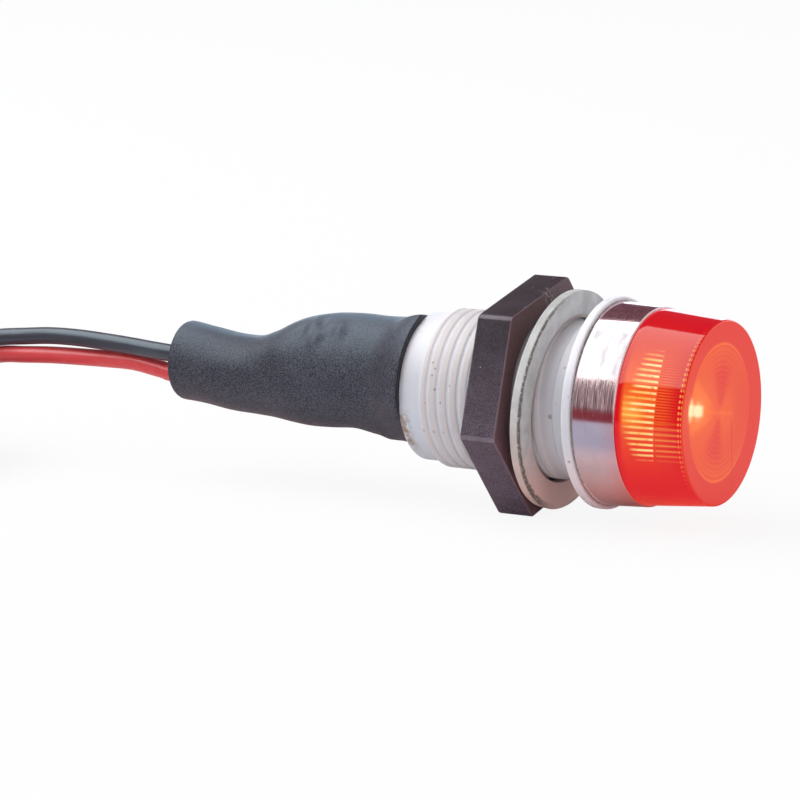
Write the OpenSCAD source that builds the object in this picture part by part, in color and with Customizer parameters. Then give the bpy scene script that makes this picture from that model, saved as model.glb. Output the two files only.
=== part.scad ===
// Panel indicator lamp with a fluted lens, a threaded shank, a clamping nut and two flying leads.
// The lamp's axis is X, with the lens at +X. The origin is the centre of the flange's rear face,
// which is where the panel's front surface lies. All sizes are in millimetres.

/* [Threaded shank] */
// Outside diameter of the thread and of the plain neck
thread_d = 14; // [12:0.1:16]
// Distance from one thread ridge to the next
thread_pitch = 1; // [0.8:0.1:1.5]
// Depth of the thread, from ridge top to root
thread_depth = 0.35; // [0.2:0.05:0.6]
// Width of a ridge's flat top
ridge_flat = 0.44; // [0.1:0.01:0.5]
// Length of the threaded stretch
thread_len = 12; // [11:0.1:20]
// Length of the plain neck behind the flange
neck_len = 1.9; // [1:0.1:2.5]
// Length of the shallow relief between neck and thread
relief_len = 1.2; // [0.5:0.1:2]
// Depth of that relief
relief_depth = 0.2; // [0.1:0.02:0.3]
// Diameter of the plain tail behind the thread
tail_d = 13.1; // [11:0.1:13.6]
// Length of the plain tail
tail_len = 2.1; // [1.5:0.1:5]
// Chamfer of the tail's rear edge
tail_chamfer = 0.15; // [0.05:0.05:0.4]
// Diameter of the rear spigot that carries the sleeve
spigot_d = 8.9; // [8.7:0.1:10.5]
// Length of the rear spigot
spigot_len = 2.8; // [2:0.1:4]
// Bore of the shank, where the wiring runs
shank_bore_d = 7.9; // [7.7:0.1:8.1]

/* [Flange, bezel and lens] */
// Thickness of the flange
flange_t = 0.78; // [0.6:0.02:2]
// How far the flange stands out past the bezel
flange_lip = 0.35; // [0.1:0.05:2]
// Diameter of the collar that the lens skirt slides over
collar_d = 14.2; // [13.6:0.1:15]
// Length of the collar in front of the flange
collar_len = 3.3; // [2:0.1:3.5]
// Wall of the lens skirt
skirt_wall = 0.75; // [0.5:0.05:1]
// Length of the bezel ring
bezel_len = 3.91; // [3.6:0.01:6]
// Wall of the bezel ring at its rear edge
bezel_wall = 0.87; // [0.6:0.01:1.5]
// How far the bezel's outside draws in from rear to front
bezel_taper = 0.23; // [0:0.01:0.4]
// How far the lens stands inside the bezel's front edge
lens_inset = 0.14; // [0.02:0.02:0.2]
// Length of the lens in front of the bezel
lens_len = 6.01; // [5:0.01:9]
// How far the lens draws in from the bezel to its front
lens_taper = 0.51; // [0:0.01:0.6]
// Rounding of the lens's front edge
lens_edge_r = 0.3; // [0.2:0.05:0.6]
// Thickness of the lens's front wall
lens_front_t = 0.75; // [0.6:0.05:1.2]
// Length of the plain band between the bezel and the flutes
plain_band = 0.9; // [0.4:0.05:1.5]
// Number of flutes inside the lens
flute_count = 105; // [40:1:120]
// Depth of the flutes
flute_depth = 0.3; // [0.1:0.05:0.4]
// Outer diameter of the ringed field behind the lens front
ring_field_d = 11.6; // [8:0.1:12.4]
// Number of rings in that field
ring_count = 13; // [6:1:20]
// Depth of a ring's step
ring_depth = 0.22; // [0.1:0.02:0.35]

/* [Nut and washer] */
// Width of the hexagon nut across its flats
nut_across_flats = 18.38; // [17.5:0.02:24]
// Thickness of the nut
nut_t = 3.36; // [2.5:0.02:5]
// Chamfer at both mouths of the nut's bore
nut_chamfer = 0.4; // [0.1:0.05:0.6]
// Turn of the nut about the lamp's axis
nut_turn_deg = 12.2; // [0:0.1:60]
// Distance from the washer's rear to the nut's front
nut_gap = 1.09; // [0.9:0.01:1.6]
// Diameter of the washer
washer_d = 19.2; // [18:0.1:24]
// Thickness of the washer
washer_t = 0.85; // [0.5:0.05:1.5]
// Distance from the flange to the washer's front
washer_setback = 3.73; // [3:0.01:5]
// Lean of the loose washer, its top edge forward
washer_lean_deg = 4.2; // [0:0.1:4.4]
// Clearance of the washer's bore over the thread
washer_clearance = 0.2; // [0.16:0.01:0.4]
// Clearance of the nut's bore over the thread
nut_clearance = 0.08; // [0.05:0.01:0.15]

/* [Lamp] */
// Diameter of the light-emitting diode
led_d = 5; // [3:0.1:5.4]
// Length of the diode from its base to the top of its dome
led_len = 8.6; // [6:0.1:10]
// Diameter of the diode's rim
led_rim_d = 5.8; // [5.6:0.1:6.4]
// Thickness of the diode's rim
led_rim_t = 1; // [0.6:0.1:1.4]
// Distance of the diode's base behind the panel plane
led_setback = 1; // [0:0.1:2]
// Distance between the diode's legs
leg_pitch = 2.54; // [2:0.02:2.8]
// Diameter of the diode's legs and of the resistor's wires
leg_d = 0.5; // [0.4:0.02:0.6]
// Diameter of the bush that holds the diode
holder_d = 10.4; // [9.4:0.1:11.4]
// Thickness of the bush behind the diode
holder_t = 4; // [2:0.1:5]
// Height of the rim that the diode sits in
holder_rim = 1.6; // [0.6:0.1:2.4]
// Diameter of the series resistor
resistor_d = 2.3; // [1.6:0.1:2.5]
// Length of the series resistor
resistor_len = 6.3; // [4:0.1:6.6]
// Height of the resistor above the lamp's axis
resistor_z = 3.2; // [2.6:0.05:3.3]

/* [Sleeve and leads] */
// Wall of the shrunk-on sleeve
sleeve_wall = 0.55; // [0.4:0.05:0.7]
// Length of the sleeve along the axis
sleeve_len = 25.65; // [24:0.05:34]
// Outside diameter of a lead's insulation
lead_d = 1.6; // [1.2:0.05:1.65]
// Diameter of a lead's stranded conductor
conductor_d = 0.7; // [0.4:0.05:0.9]
// Length of conductor stripped bare at a lead's far end
strip_len = 5; // [3:0.5:8]
// Diameter of a solder joint
joint_d = 1.2; // [1.1:0.05:1.3]
// Length of a solder joint
joint_len = 1.8; // [1.2:0.1:1.8]
// Wall of the small sleeve over the lower joint
joint_sleeve_wall = 0.3; // [0.15:0.05:0.4]

/* [Hidden] */
$fn = 72;

// Clearance between pieces that slide together
fit_clear = 0.05;
// Overlap of a cutting shape past the face that it cuts
cut_over = 0.1;

// Places along the axis, from the lens to the tail
bezel_front_x = flange_t + bezel_len;
lens_front_x = bezel_front_x + lens_len;
relief_start_x = -neck_len;
thread_start_x = relief_start_x - relief_len;
thread_end_x = thread_start_x - thread_len;
shoulder_x = thread_end_x - tail_len;
housing_end_x = shoulder_x - spigot_len;

// Radii that fit into each other, from the collar out to the flange
skirt_in_r = collar_d / 2 + fit_clear;
skirt_out_r = skirt_in_r + skirt_wall;
bezel_in_r = skirt_out_r + fit_clear;
bezel_rear_r = bezel_in_r + bezel_wall;
bezel_front_r = bezel_rear_r - bezel_taper;
flange_r = bezel_rear_r + flange_lip;
lens_base_r = bezel_front_r - lens_inset;
lens_front_r = lens_base_r - lens_taper;
thread_r = thread_d / 2;
root_r = thread_r - thread_depth;
relief_r = thread_r - relief_depth;
holder_seat_x = -led_setback - holder_t;
collar_end_x = flange_t + collar_len;
skirt_end_x = flange_t + 6 * fit_clear;

// Places of the wiring behind the shank, the black run above and the red run below the axis
cathode_joint_x = housing_end_x + joint_len / 2 + 0.2;
resistor_front_x = cathode_joint_x - joint_len / 2 - 1;
resistor_rear_x = resistor_front_x - resistor_len;
rear_wire_bend = 1;
rear_wire_drop = 2.4;
black_run_z = 1.1;
black_joint_x = resistor_rear_x - rear_wire_bend - rear_wire_drop - joint_len / 2 - 0.4;
red_run_z = -leg_pitch / 2;
red_joint_x = housing_end_x - joint_len / 2 - 0.6;
bare_len = joint_len / 2 + 0.9;
black_start_x = black_joint_x - bare_len;
red_start_x = red_joint_x - bare_len;
leg_bend_start_x = cathode_joint_x + joint_len / 2 + 2.6;
leg_bend_end_x = cathode_joint_x + joint_len / 2 + 0.4;

// The sleeve's front and rear edges, its lip, its clearance over the spigot and how it draws in behind
sleeve_front_x = shoulder_x - 0.15;
sleeve_rear_x = sleeve_front_x - sleeve_len;
sleeve_lip_r = 0.4;
sleeve_clear = 0.15;
hug_past = 0.9;
hug_slope = 0.3;
sleeve_rings = 36;
sleeve_sides = 32;
// Share of the sleeve's length from its front edge, height above, height below, half width
sleeve_outline = [
    [0.00, 5.95, 5.30, 5.45],
    [0.08, 5.84, 5.16, 5.30],
    [0.19, 5.76, 4.82, 5.08],
    [0.28, 5.82, 4.46, 5.00],
    [0.38, 5.68, 4.60, 5.00],
    [0.46, 5.32, 4.65, 4.90],
    [0.53, 4.75, 4.50, 4.70],
    [0.61, 3.73, 4.24, 4.45],
    [0.69, 3.00, 4.12, 4.25],
    [0.79, 2.98, 4.00, 4.05],
    [0.90, 3.40, 3.62, 3.80],
    [1.00, 3.78, 3.45, 3.65]
];

// The leads' routes: from the sleeve's rear edge to the top of the coil, then from its foot to the bare tips
black_route = [
    [0, -0.1, 0.64], [-3, -0.3, 0.76], [-6, -0.35, 1], [-9, -0.3, 1.16], [-12, -0.2, 1.25],
    [-15, -0.1, 1.18], [-18, 0, 0.88], [-21, -0.2, 0.54], [-24.5, -0.1, -0.35]
];
red_route = [
    [0, 0.1, -1.3], [-3, 0.35, -1.05], [-6, 0.4, -0.61], [-9, 0.35, -0.58], [-12, 0.2, -0.6],
    [-15, 0.1, -0.67], [-18, 0, -0.85], [-21, 0.2, -1.12], [-24.5, 0.1, -2.05]
];
black_end_route = [[-31, 0.6, -7.7], [-33.5, 1.3, -8], [-36, 1.8, -8.8], [-38.5, 1.9, -9.3]];
red_end_route = [[-31, 0, -9.3], [-38.5, 0, -9.3]];
// The coil stands on the surface that the nut's lowest corner rests on, with the two leads' turns in turn
coil_x = sleeve_rear_x - 28.5;
coil_r = 12;
coil_turns = 2;
coil_step = 15;
coil_pitch = 3.35;
black_coil_z = -0.92;
red_coil_z = black_coil_z - coil_pitch / 2;
lead_sides = 8;
wire_sides = 12;
tie_w = 2;
tie_t = 0.5;
tie_slack = 0.1;

lens_red = [0.86, 0.12, 0.13, 0.8];
chrome_grey = [0.8, 0.8, 0.82];
nylon_white = [0.9, 0.91, 0.93];
washer_grey = [0.68, 0.7, 0.69];
nut_black = [0.2, 0.17, 0.19];
sleeve_black = [0.24, 0.26, 0.29];
lead_red = [0.8, 0.18, 0.2];
lead_black = [0.16, 0.17, 0.19];
tin_grey = [0.75, 0.76, 0.77];
resistor_tan = [0.82, 0.7, 0.5];
diode_red = [0.85, 0.2, 0.18, 0.7];

// A solid turned about the lamp's axis from an outline of [radius, x] points
module turned(outline) rotate([0, 90, 0]) rotate_extrude() polygon(outline);

// A cylinder or cone along the lamp's axis from x0 to x1
module along(x0, x1, r0, r1) {
    translate([x0, 0, 0]) rotate([0, 90, 0]) cylinder(h = x1 - x0, r1 = r0, r2 = r1);
}

// A straight round wire along the lamp's axis at a height above it
module straight_wire(x0, x1, z, d) translate([0, 0, z]) along(x0, x1, d / 2, d / 2);

// Outline points of the thread, ridge by ridge from rear to front
function ridge_points() =
    let (flank = (thread_pitch - ridge_flat) / 4)
    let (count = floor(thread_len / thread_pitch))
    [for (k = [0 : count - 1], p = [[-1, 0], [0, 1], [1, 1], [2, 0]])
        let (mid = thread_end_x + (k + 0.5) * thread_pitch)
        let (side = p.x < 1 ? -1 : 1)
        let (reach = ridge_flat / 2 + (p.y == 0 ? flank : 0))
        [root_r + p.y * thread_depth, mid + side * reach]];

function spline(a, b, c, d, t) =
    0.5 * (2 * b + (c - a) * t + (2 * a - 5 * b + 4 * c - d) * t * t + (3 * b - a - 3 * c + d) * t * t * t);

// Height above, height below and half width of the sleeve at a share of its length
function sleeve_size(share) =
    let (last = len(sleeve_outline) - 1)
    let (i = max([for (k = [0 : last - 1]) if (sleeve_outline[k][0] <= share) k]))
    let (t = (share - sleeve_outline[i][0]) / (sleeve_outline[i + 1][0] - sleeve_outline[i][0]))
    let (behind = max(0, housing_end_x - hug_past - sleeve_front_x + sleeve_len * share))
    let (hug = spigot_d / 2 + sleeve_clear + sleeve_wall - hug_slope * behind)
    [for (k = [1 : 3])
        max(hug, spline(sleeve_outline[max(0, i - 1)][k], sleeve_outline[i][k], sleeve_outline[i + 1][k],
            sleeve_outline[min(last, i + 2)][k], t))];

// A point of the sleeve on ring i at angle a, the inset measured in from the outside
function sleeve_point(i, a, inset) =
    let (share = i / (sleeve_rings - 1))
    let (x = sleeve_front_x - sleeve_len * share)
    let (size = sleeve_size(share))
    let (past = max(0, sleeve_lip_r - (x - sleeve_rear_x)) / sleeve_lip_r)
    let (lip = inset > 0 ? 0 : sleeve_lip_r * (1 - sqrt(1 - past * past)))
    let (off = inset + lip)
    [x, (size[2] - off) * cos(a), ((sin(a) > 0 ? size[0] : size[1]) - off) * sin(a)];

// Four-cornered faces between two rings of n points that start at points a and b
function band(a, b, n) = [for (j = [0 : n - 1]) [a + j, a + (j + 1) % n, b + (j + 1) % n, b + j]];

module lens_cap() {
    front = lens_front_x;
    inner_front = front - lens_front_t;
    flute_start = bezel_front_x + plain_band;
    slope = lens_taper / lens_len;
    edge_x = front - lens_edge_r;
    edge_r = lens_front_r + slope * lens_edge_r;
    ring_w = ring_field_d / 2 / ring_count;
    land = 0.03;
    color(lens_red) {
        difference() {
            turned(concat(
                [[0, skirt_end_x], [skirt_out_r, skirt_end_x], [skirt_out_r, bezel_front_x]],
                [[lens_base_r, bezel_front_x], [edge_r, edge_x]],
                [for (a = [15 : 15 : 90])
                    [edge_r - lens_edge_r * (1 - cos(a)), edge_x + lens_edge_r * sin(a)]],
                [[0, front]]
            ));
            along(skirt_end_x - cut_over, flute_start, skirt_in_r, skirt_in_r);
            translate([flute_start - cut_over, 0, 0]) rotate([0, 90, 0])
                linear_extrude(inner_front - flute_start + cut_over)
                    polygon([for (k = [0 : 2 * flute_count - 1])
                        let (r = skirt_in_r - land - (k % 2) * flute_depth)
                        [r * cos(k * 180 / flute_count), r * sin(k * 180 / flute_count)]]);
            turned(concat(
                [[0, inner_front - cut_over]],
                [[ring_field_d / 2, inner_front - cut_over]],
                [for (k = [ring_count - 1 : -1 : 0], s = [1, 0])
                    [(k + s) * ring_w, inner_front + land + s * ring_depth]]
            ));
        }
    }
}

module bezel_ring() {
    edge = 0.12;
    color(chrome_grey) turned([
        [bezel_in_r, flange_t], [bezel_rear_r, flange_t],
        [bezel_front_r + bezel_taper * edge / bezel_len, bezel_front_x - edge],
        [bezel_front_r - edge, bezel_front_x], [bezel_in_r, bezel_front_x]
    ]);
}

module housing() {
    front_bore_r = holder_d / 2 + fit_clear;
    edge = 0.15;
    color(nylon_white) difference() {
        turned(concat(
            [[0, housing_end_x], [spigot_d / 2, housing_end_x], [spigot_d / 2, shoulder_x]],
            [[tail_d / 2 - tail_chamfer, shoulder_x], [tail_d / 2, shoulder_x + tail_chamfer]],
            [[tail_d / 2, thread_end_x - edge], [root_r, thread_end_x]],
            ridge_points(),
            [[relief_r, thread_start_x], [relief_r, relief_start_x - edge], [thread_r, relief_start_x]],
            [[thread_r, 0], [flange_r - edge, 0], [flange_r, edge], [flange_r, flange_t - edge]],
            [[flange_r - edge, flange_t], [collar_d / 2, flange_t]],
            [[collar_d / 2, collar_end_x - edge], [collar_d / 2 - edge, collar_end_x], [0, collar_end_x]]
        ));
        along(housing_end_x - cut_over, collar_end_x, shank_bore_d / 2, shank_bore_d / 2);
        along(holder_seat_x, collar_end_x + cut_over, front_bore_r, front_bore_r);
    }
}

module panel_washer() {
    bore_r = thread_r + washer_clearance;
    // The loose washer hangs from the thread's crest by its bore
    hang = bore_r * cos(washer_lean_deg) - washer_t * sin(washer_lean_deg) / 2 - thread_r - fit_clear;
    color(washer_grey) translate([-washer_setback - washer_t / 2, 0, -hang]) rotate([0, washer_lean_deg, 0])
        difference() {
            along(-washer_t / 2, washer_t / 2, washer_d / 2, washer_d / 2);
            along(-washer_t, washer_t, bore_r, bore_r);
        }
}

module hex_nut() {
    front = -washer_setback - washer_t - nut_gap;
    bore_r = thread_r + nut_clearance;
    wide_r = bore_r + nut_chamfer;
    corner_r = nut_across_flats / 2 / cos(30);
    color(nut_black) difference() {
        translate([front - nut_t, 0, 0]) rotate([nut_turn_deg - 90, 0, 0]) rotate([0, 90, 0])
            cylinder(h = nut_t, r = corner_r, $fn = 6);
        along(front - nut_t - cut_over, front + cut_over, bore_r, bore_r);
        along(front - nut_chamfer, front, bore_r, wide_r);
        along(front - nut_t, front - nut_t + nut_chamfer, wide_r, bore_r);
    }
}

module led_body() {
    base = -led_setback;
    dome_x = base + led_len - led_d / 2;
    flat = 0.2;
    color(diode_red) {
        difference() {
            along(base, base + led_rim_t, led_rim_d / 2, led_rim_d / 2);
            translate([base - cut_over, -led_rim_d, led_rim_d / 2 - flat])
                cube([led_rim_t + 2 * cut_over, 2 * led_rim_d, led_rim_d]);
        }
        along(base, dome_x, led_d / 2, led_d / 2);
        intersection() {
            translate([dome_x, 0, 0]) sphere(d = led_d);
            along(dome_x, dome_x + led_d, led_d, led_d);
        }
    }
}

module led_cathode_leg() {
    color(tin_grey) tube([
        [-led_setback, 0, leg_pitch / 2], [leg_bend_start_x, 0, leg_pitch / 2],
        [leg_bend_end_x, 0, resistor_z], [cathode_joint_x, 0, resistor_z]
    ], leg_d, wire_sides);
}

module led_anode_leg() {
    color(tin_grey) straight_wire(red_joint_x, -led_setback, red_run_z, leg_d);
}

module led_holder() {
    front = -led_setback + holder_rim;
    pocket_r = led_rim_d / 2 + fit_clear;
    color(nylon_white) difference() {
        along(holder_seat_x, front, holder_d / 2, holder_d / 2);
        along(-led_setback, front + cut_over, pocket_r, pocket_r);
        for (side = [-1, 1]) translate([0, 0, side * leg_pitch / 2])
            along(holder_seat_x - cut_over, front, leg_d / 2 + fit_clear, leg_d / 2 + fit_clear);
    }
}

module resistor_body() {
    r = resistor_d / 2;
    waist = 0.14;
    cap = 1.5;
    color(resistor_tan) translate([0, 0, resistor_z]) turned([
        [0, resistor_rear_x], [r - 2 * waist, resistor_rear_x], [r, resistor_rear_x + cap / 3],
        [r, resistor_rear_x + cap], [r - waist, resistor_rear_x + cap + waist],
        [r - waist, resistor_front_x - cap - waist], [r, resistor_front_x - cap],
        [r, resistor_front_x - cap / 3], [r - 2 * waist, resistor_front_x], [0, resistor_front_x]
    ]);
}

module resistor_front_wire() {
    color(tin_grey) straight_wire(resistor_front_x, cathode_joint_x, resistor_z, leg_d);
}

module resistor_rear_wire() {
    bend_x = resistor_rear_x - rear_wire_bend;
    color(tin_grey) tube([
        [resistor_rear_x, 0, resistor_z], [bend_x, 0, resistor_z],
        [bend_x - rear_wire_drop, 0, black_run_z], [black_joint_x, 0, black_run_z]
    ], leg_d, wire_sides);
}

// A bead of solder on two wires that meet end to end at its middle
module solder_joint(x, z, front_d, rear_d) {
    taper = joint_len / 4;
    waist = 0.1;
    end_r = max(front_d, rear_d) / 2 + waist;
    half = joint_len / 2;
    color(tin_grey) translate([x, 0, z]) difference() {
        turned([
            [0, -half], [end_r, -half], [joint_d / 2, taper - half],
            [joint_d / 2, half - taper], [end_r, half], [0, half]
        ]);
        along(0, half + cut_over, front_d / 2, front_d / 2);
        along(-half - cut_over, 0, rear_d / 2, rear_d / 2);
    }
}

module cathode_joint() solder_joint(cathode_joint_x, resistor_z, leg_d, leg_d);
module black_joint() solder_joint(black_joint_x, black_run_z, leg_d, conductor_d);
module red_joint() solder_joint(red_joint_x, red_run_z, leg_d, conductor_d);

module red_joint_sleeve() {
    in_r = max(lead_d, joint_d) / 2 + fit_clear;
    front = red_joint_x + joint_len / 2 + 0.4;
    rear = red_start_x - 2;
    color(sleeve_black) translate([0, 0, red_run_z]) difference() {
        along(rear, front, in_r + joint_sleeve_wall, in_r + joint_sleeve_wall);
        along(rear - cut_over, front + cut_over, in_r, in_r);
    }
}

module heat_shrink_sleeve() {
    n = sleeve_sides;
    total = sleeve_rings * n;
    angles = [for (j = [0 : n - 1]) 360 * j / n];
    outside = [for (i = [0 : sleeve_rings - 1], a = angles) sleeve_point(i, a, 0)];
    inside = [for (i = [0 : sleeve_rings - 1], a = angles) sleeve_point(i, a, sleeve_wall)];
    walls = [for (i = [0 : sleeve_rings - 2]) each concat(
        band(i * n, (i + 1) * n, n), band(total + (i + 1) * n, total + i * n, n))];
    ends = concat(band(total, 0, n), band((sleeve_rings - 1) * n, total + (sleeve_rings - 1) * n, n));
    color(sleeve_black) polyhedron(concat(outside, inside), concat(walls, ends), convexity = 6);
}

module black_conductor() {
    color(tin_grey) straight_wire(black_start_x, black_joint_x, black_run_z, conductor_d);
}

module red_conductor() {
    color(tin_grey) straight_wire(red_start_x, red_joint_x, red_run_z, conductor_d);
}

// A tube with n sides swept along the points, its rings square to the route
module tube(points, d, n) {
    last = len(points) - 1;
    function heading(i) =
        let (way = points[min(last, i + 1)] - points[max(0, i - 1)])
        way / norm(way);
    function ring(i) =
        let (way = heading(i))
        let (across = cross(way, abs(way.z) > 0.9 ? [1, 0, 0] : [0, 0, 1]))
        let (side = across / norm(across))
        let (rise = cross(side, way))
        [for (j = [0 : n - 1]) points[i] + d / 2 * (side * cos(360 * j / n) + rise * sin(360 * j / n))];
    tube_points = [for (i = [0 : last]) each ring(i)];
    walls = [for (i = [0 : last - 1]) each band(i * n, (i + 1) * n, n)];
    first_end = [for (j = [0 : n - 1]) n - 1 - j];
    last_end = [for (j = [0 : n - 1]) last * n + j];
    polyhedron(tube_points, concat(walls, [last_end, first_end]), convexity = 4);
}

// A lead's points, from its bare end inside the sleeve through its coil to its far end
function lead_points(start_x, run_z, straight, route, top_z, end_route) = concat(
    [[start_x, 0, run_z], [start_x - straight, 0, run_z]],
    [for (p = route) [sleeve_rear_x + p.x, p.y, p.z]],
    [for (a = [0 : coil_step : 360 * coil_turns])
        [coil_x - coil_r * sin(a), coil_r * (cos(a) - 1), top_z - coil_pitch * a / 360]],
    [for (p = end_route) [sleeve_rear_x + p.x, p.y, p.z]]);
black_points = lead_points(black_start_x, black_run_z, 2, black_route, black_coil_z, black_end_route);
red_points = lead_points(red_start_x, red_run_z, 4, red_route, red_coil_z, red_end_route);

module black_lead() color(lead_black) tube(black_points, lead_d, lead_sides);
module red_lead() color(lead_red) tube(red_points, lead_d, lead_sides);

// The bare end of a conductor, in line with the last stretch of its lead
module lead_tip(points) {
    end = points[len(points) - 1];
    color(tin_grey) translate([0, end.y, 0]) straight_wire(end.x - strip_len, end.x, end.z, conductor_d);
}

module black_lead_tip() lead_tip(black_points);
module red_lead_tip() lead_tip(red_points);

// A band round all turns of the coil, a quarter turn past its start
module lead_tie() {
    top = black_coil_z - coil_pitch / 4 + lead_d / 2 + tie_slack;
    foot = red_coil_z - coil_pitch * (coil_turns - 3 / 4) - lead_d / 2 - tie_slack;
    half = lead_d / 2 + tie_slack;
    color(nylon_white) translate([coil_x - coil_r, -coil_r - tie_w / 2, foot]) difference() {
        translate([-half - tie_t, 0, -tie_t]) cube([2 * (half + tie_t), tie_w, top - foot + 2 * tie_t]);
        translate([-half, -cut_over, 0]) cube([2 * half, tie_w + 2 * cut_over, top - foot]);
    }
}

lens_cap();
bezel_ring();
housing();
panel_washer();
hex_nut();
led_body();
led_cathode_leg();
led_anode_leg();
led_holder();
resistor_body();
resistor_front_wire();
resistor_rear_wire();
cathode_joint();
black_joint();
red_joint();
red_joint_sleeve();
heat_shrink_sleeve();
black_conductor();
black_lead();
black_lead_tip();
red_conductor();
red_lead();
red_lead_tip();
lead_tie();
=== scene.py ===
"""Looks of the panel indicator lamp: a lit red lens in a chrome bezel on a white threaded shank.

Every size is in millimetres in the lamp's own frame: +X runs along the axis toward the lens, +Z is up, and
the origin is the centre of the flange's rear face. Meshes are turned into metres when they are made.
"""
import logging
import math
from dataclasses import dataclass, field
from enum import Enum
from typing import Any, Callable, Sequence, Union

import bmesh
import bpy
import numpy as np
from mathutils import Matrix


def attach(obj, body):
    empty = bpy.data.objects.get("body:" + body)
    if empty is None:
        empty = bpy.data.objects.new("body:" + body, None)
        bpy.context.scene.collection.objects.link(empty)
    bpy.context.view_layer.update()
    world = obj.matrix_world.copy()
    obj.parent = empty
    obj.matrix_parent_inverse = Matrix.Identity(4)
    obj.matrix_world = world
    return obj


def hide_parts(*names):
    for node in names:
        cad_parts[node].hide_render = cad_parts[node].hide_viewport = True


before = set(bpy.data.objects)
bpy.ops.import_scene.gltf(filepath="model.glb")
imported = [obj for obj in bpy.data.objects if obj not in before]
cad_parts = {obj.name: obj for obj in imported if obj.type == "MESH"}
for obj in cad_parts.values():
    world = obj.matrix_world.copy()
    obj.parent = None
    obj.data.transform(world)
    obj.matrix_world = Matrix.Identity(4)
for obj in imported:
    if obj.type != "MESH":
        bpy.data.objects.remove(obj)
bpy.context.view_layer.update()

MM = 0.001
FLUTES = 105
THREAD_PITCH = 1.0
THREAD_PHASE = 0.375
SPIGOT_R = 4.45
SLEEVE_REAR_X = -43.0
LOG = logging.getLogger("lamp")
Array = np.ndarray
Colour = tuple[float, float, float]
Point = tuple[float, float, float]
Mark = tuple[float, float, float, float]
Value = Union["Sock", float]


class Body(Enum):
    """Bodies of the lamp that pieces ride on."""

    LAMP = "lamp"
    WASHER = "washer"
    NUT = "nut"


class Sock:
    """A shader socket that can be used in sums, so that an expression adds its Math nodes."""

    def __init__(self, graph: "Graph", socket: Any) -> None:
        """Keeps the graph and the output socket."""
        self.graph = graph
        self.socket = socket

    def _math(self, operation: str, a: Value, b: Value = 0.0) -> "Sock":
        """Adds one Math node for an operation on one or two values."""
        return self.graph.node("ShaderNodeMath", {"operation": operation}, {0: a, 1: b})

    def __add__(self, other: Value) -> "Sock":
        """Sum."""
        return self._math("ADD", self, other)

    __radd__ = __add__

    def __sub__(self, other: Value) -> "Sock":
        """Difference."""
        return self._math("SUBTRACT", self, other)

    def __rsub__(self, other: Value) -> "Sock":
        """Difference with the socket second."""
        return self._math("SUBTRACT", other, self)

    def __mul__(self, other: Value) -> "Sock":
        """Product."""
        return self._math("MULTIPLY", self, other)

    __rmul__ = __mul__

    def __truediv__(self, other: Value) -> "Sock":
        """Quotient."""
        return self._math("DIVIDE", self, other)

    def __rtruediv__(self, other: Value) -> "Sock":
        """Quotient with the socket second."""
        return self._math("DIVIDE", other, self)

    def __pow__(self, other: Value) -> "Sock":
        """Power."""
        return self._math("POWER", self, other)

    def __neg__(self) -> "Sock":
        """Negative."""
        return self._math("MULTIPLY", self, -1.0)

    def __abs__(self) -> "Sock":
        """Size without sign."""
        return self._math("ABSOLUTE", self)

    def sin(self) -> "Sock":
        """Sine of an angle in radians."""
        return self._math("SINE", self)

    def sqrt(self) -> "Sock":
        """Square root."""
        return self._math("SQRT", self)

    def fract(self) -> "Sock":
        """Part after the decimal point."""
        return self._math("FRACT", self)

    def floor(self) -> "Sock":
        """Whole number below."""
        return self._math("FLOOR", self)

    def atan2(self, other: Value) -> "Sock":
        """Angle whose tangent is self over other."""
        return self._math("ARCTAN2", self, other)

    def least(self, other: Value) -> "Sock":
        """Smaller of two values."""
        return self._math("MINIMUM", self, other)

    def most(self, other: Value) -> "Sock":
        """Larger of two values."""
        return self._math("MAXIMUM", self, other)

    def bell(self, middle: float, width: float) -> "Sock":
        """Bell curve exp(-((v - middle) / width)^2)."""
        far = (self - middle) / width
        return self._math("EXPONENT", -(far * far))

    def rise(self, low: float, high: float) -> "Sock":
        """Smooth step from 0 at low to 1 at high (low may be the larger)."""
        if low > high:
            return 1.0 - self.rise(high, low)
        settings = {"interpolation_type": "SMOOTHSTEP"}
        return self.graph.node("ShaderNodeMapRange", settings, {0: self, 1: low, 2: high, 3: 0.0, 4: 1.0})

    def band(self, middle: float, half: float, soft: float) -> "Sock":
        """1 within half of middle, falling to 0 over soft outside."""
        return abs(self - middle).rise(half + soft, half)


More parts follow.
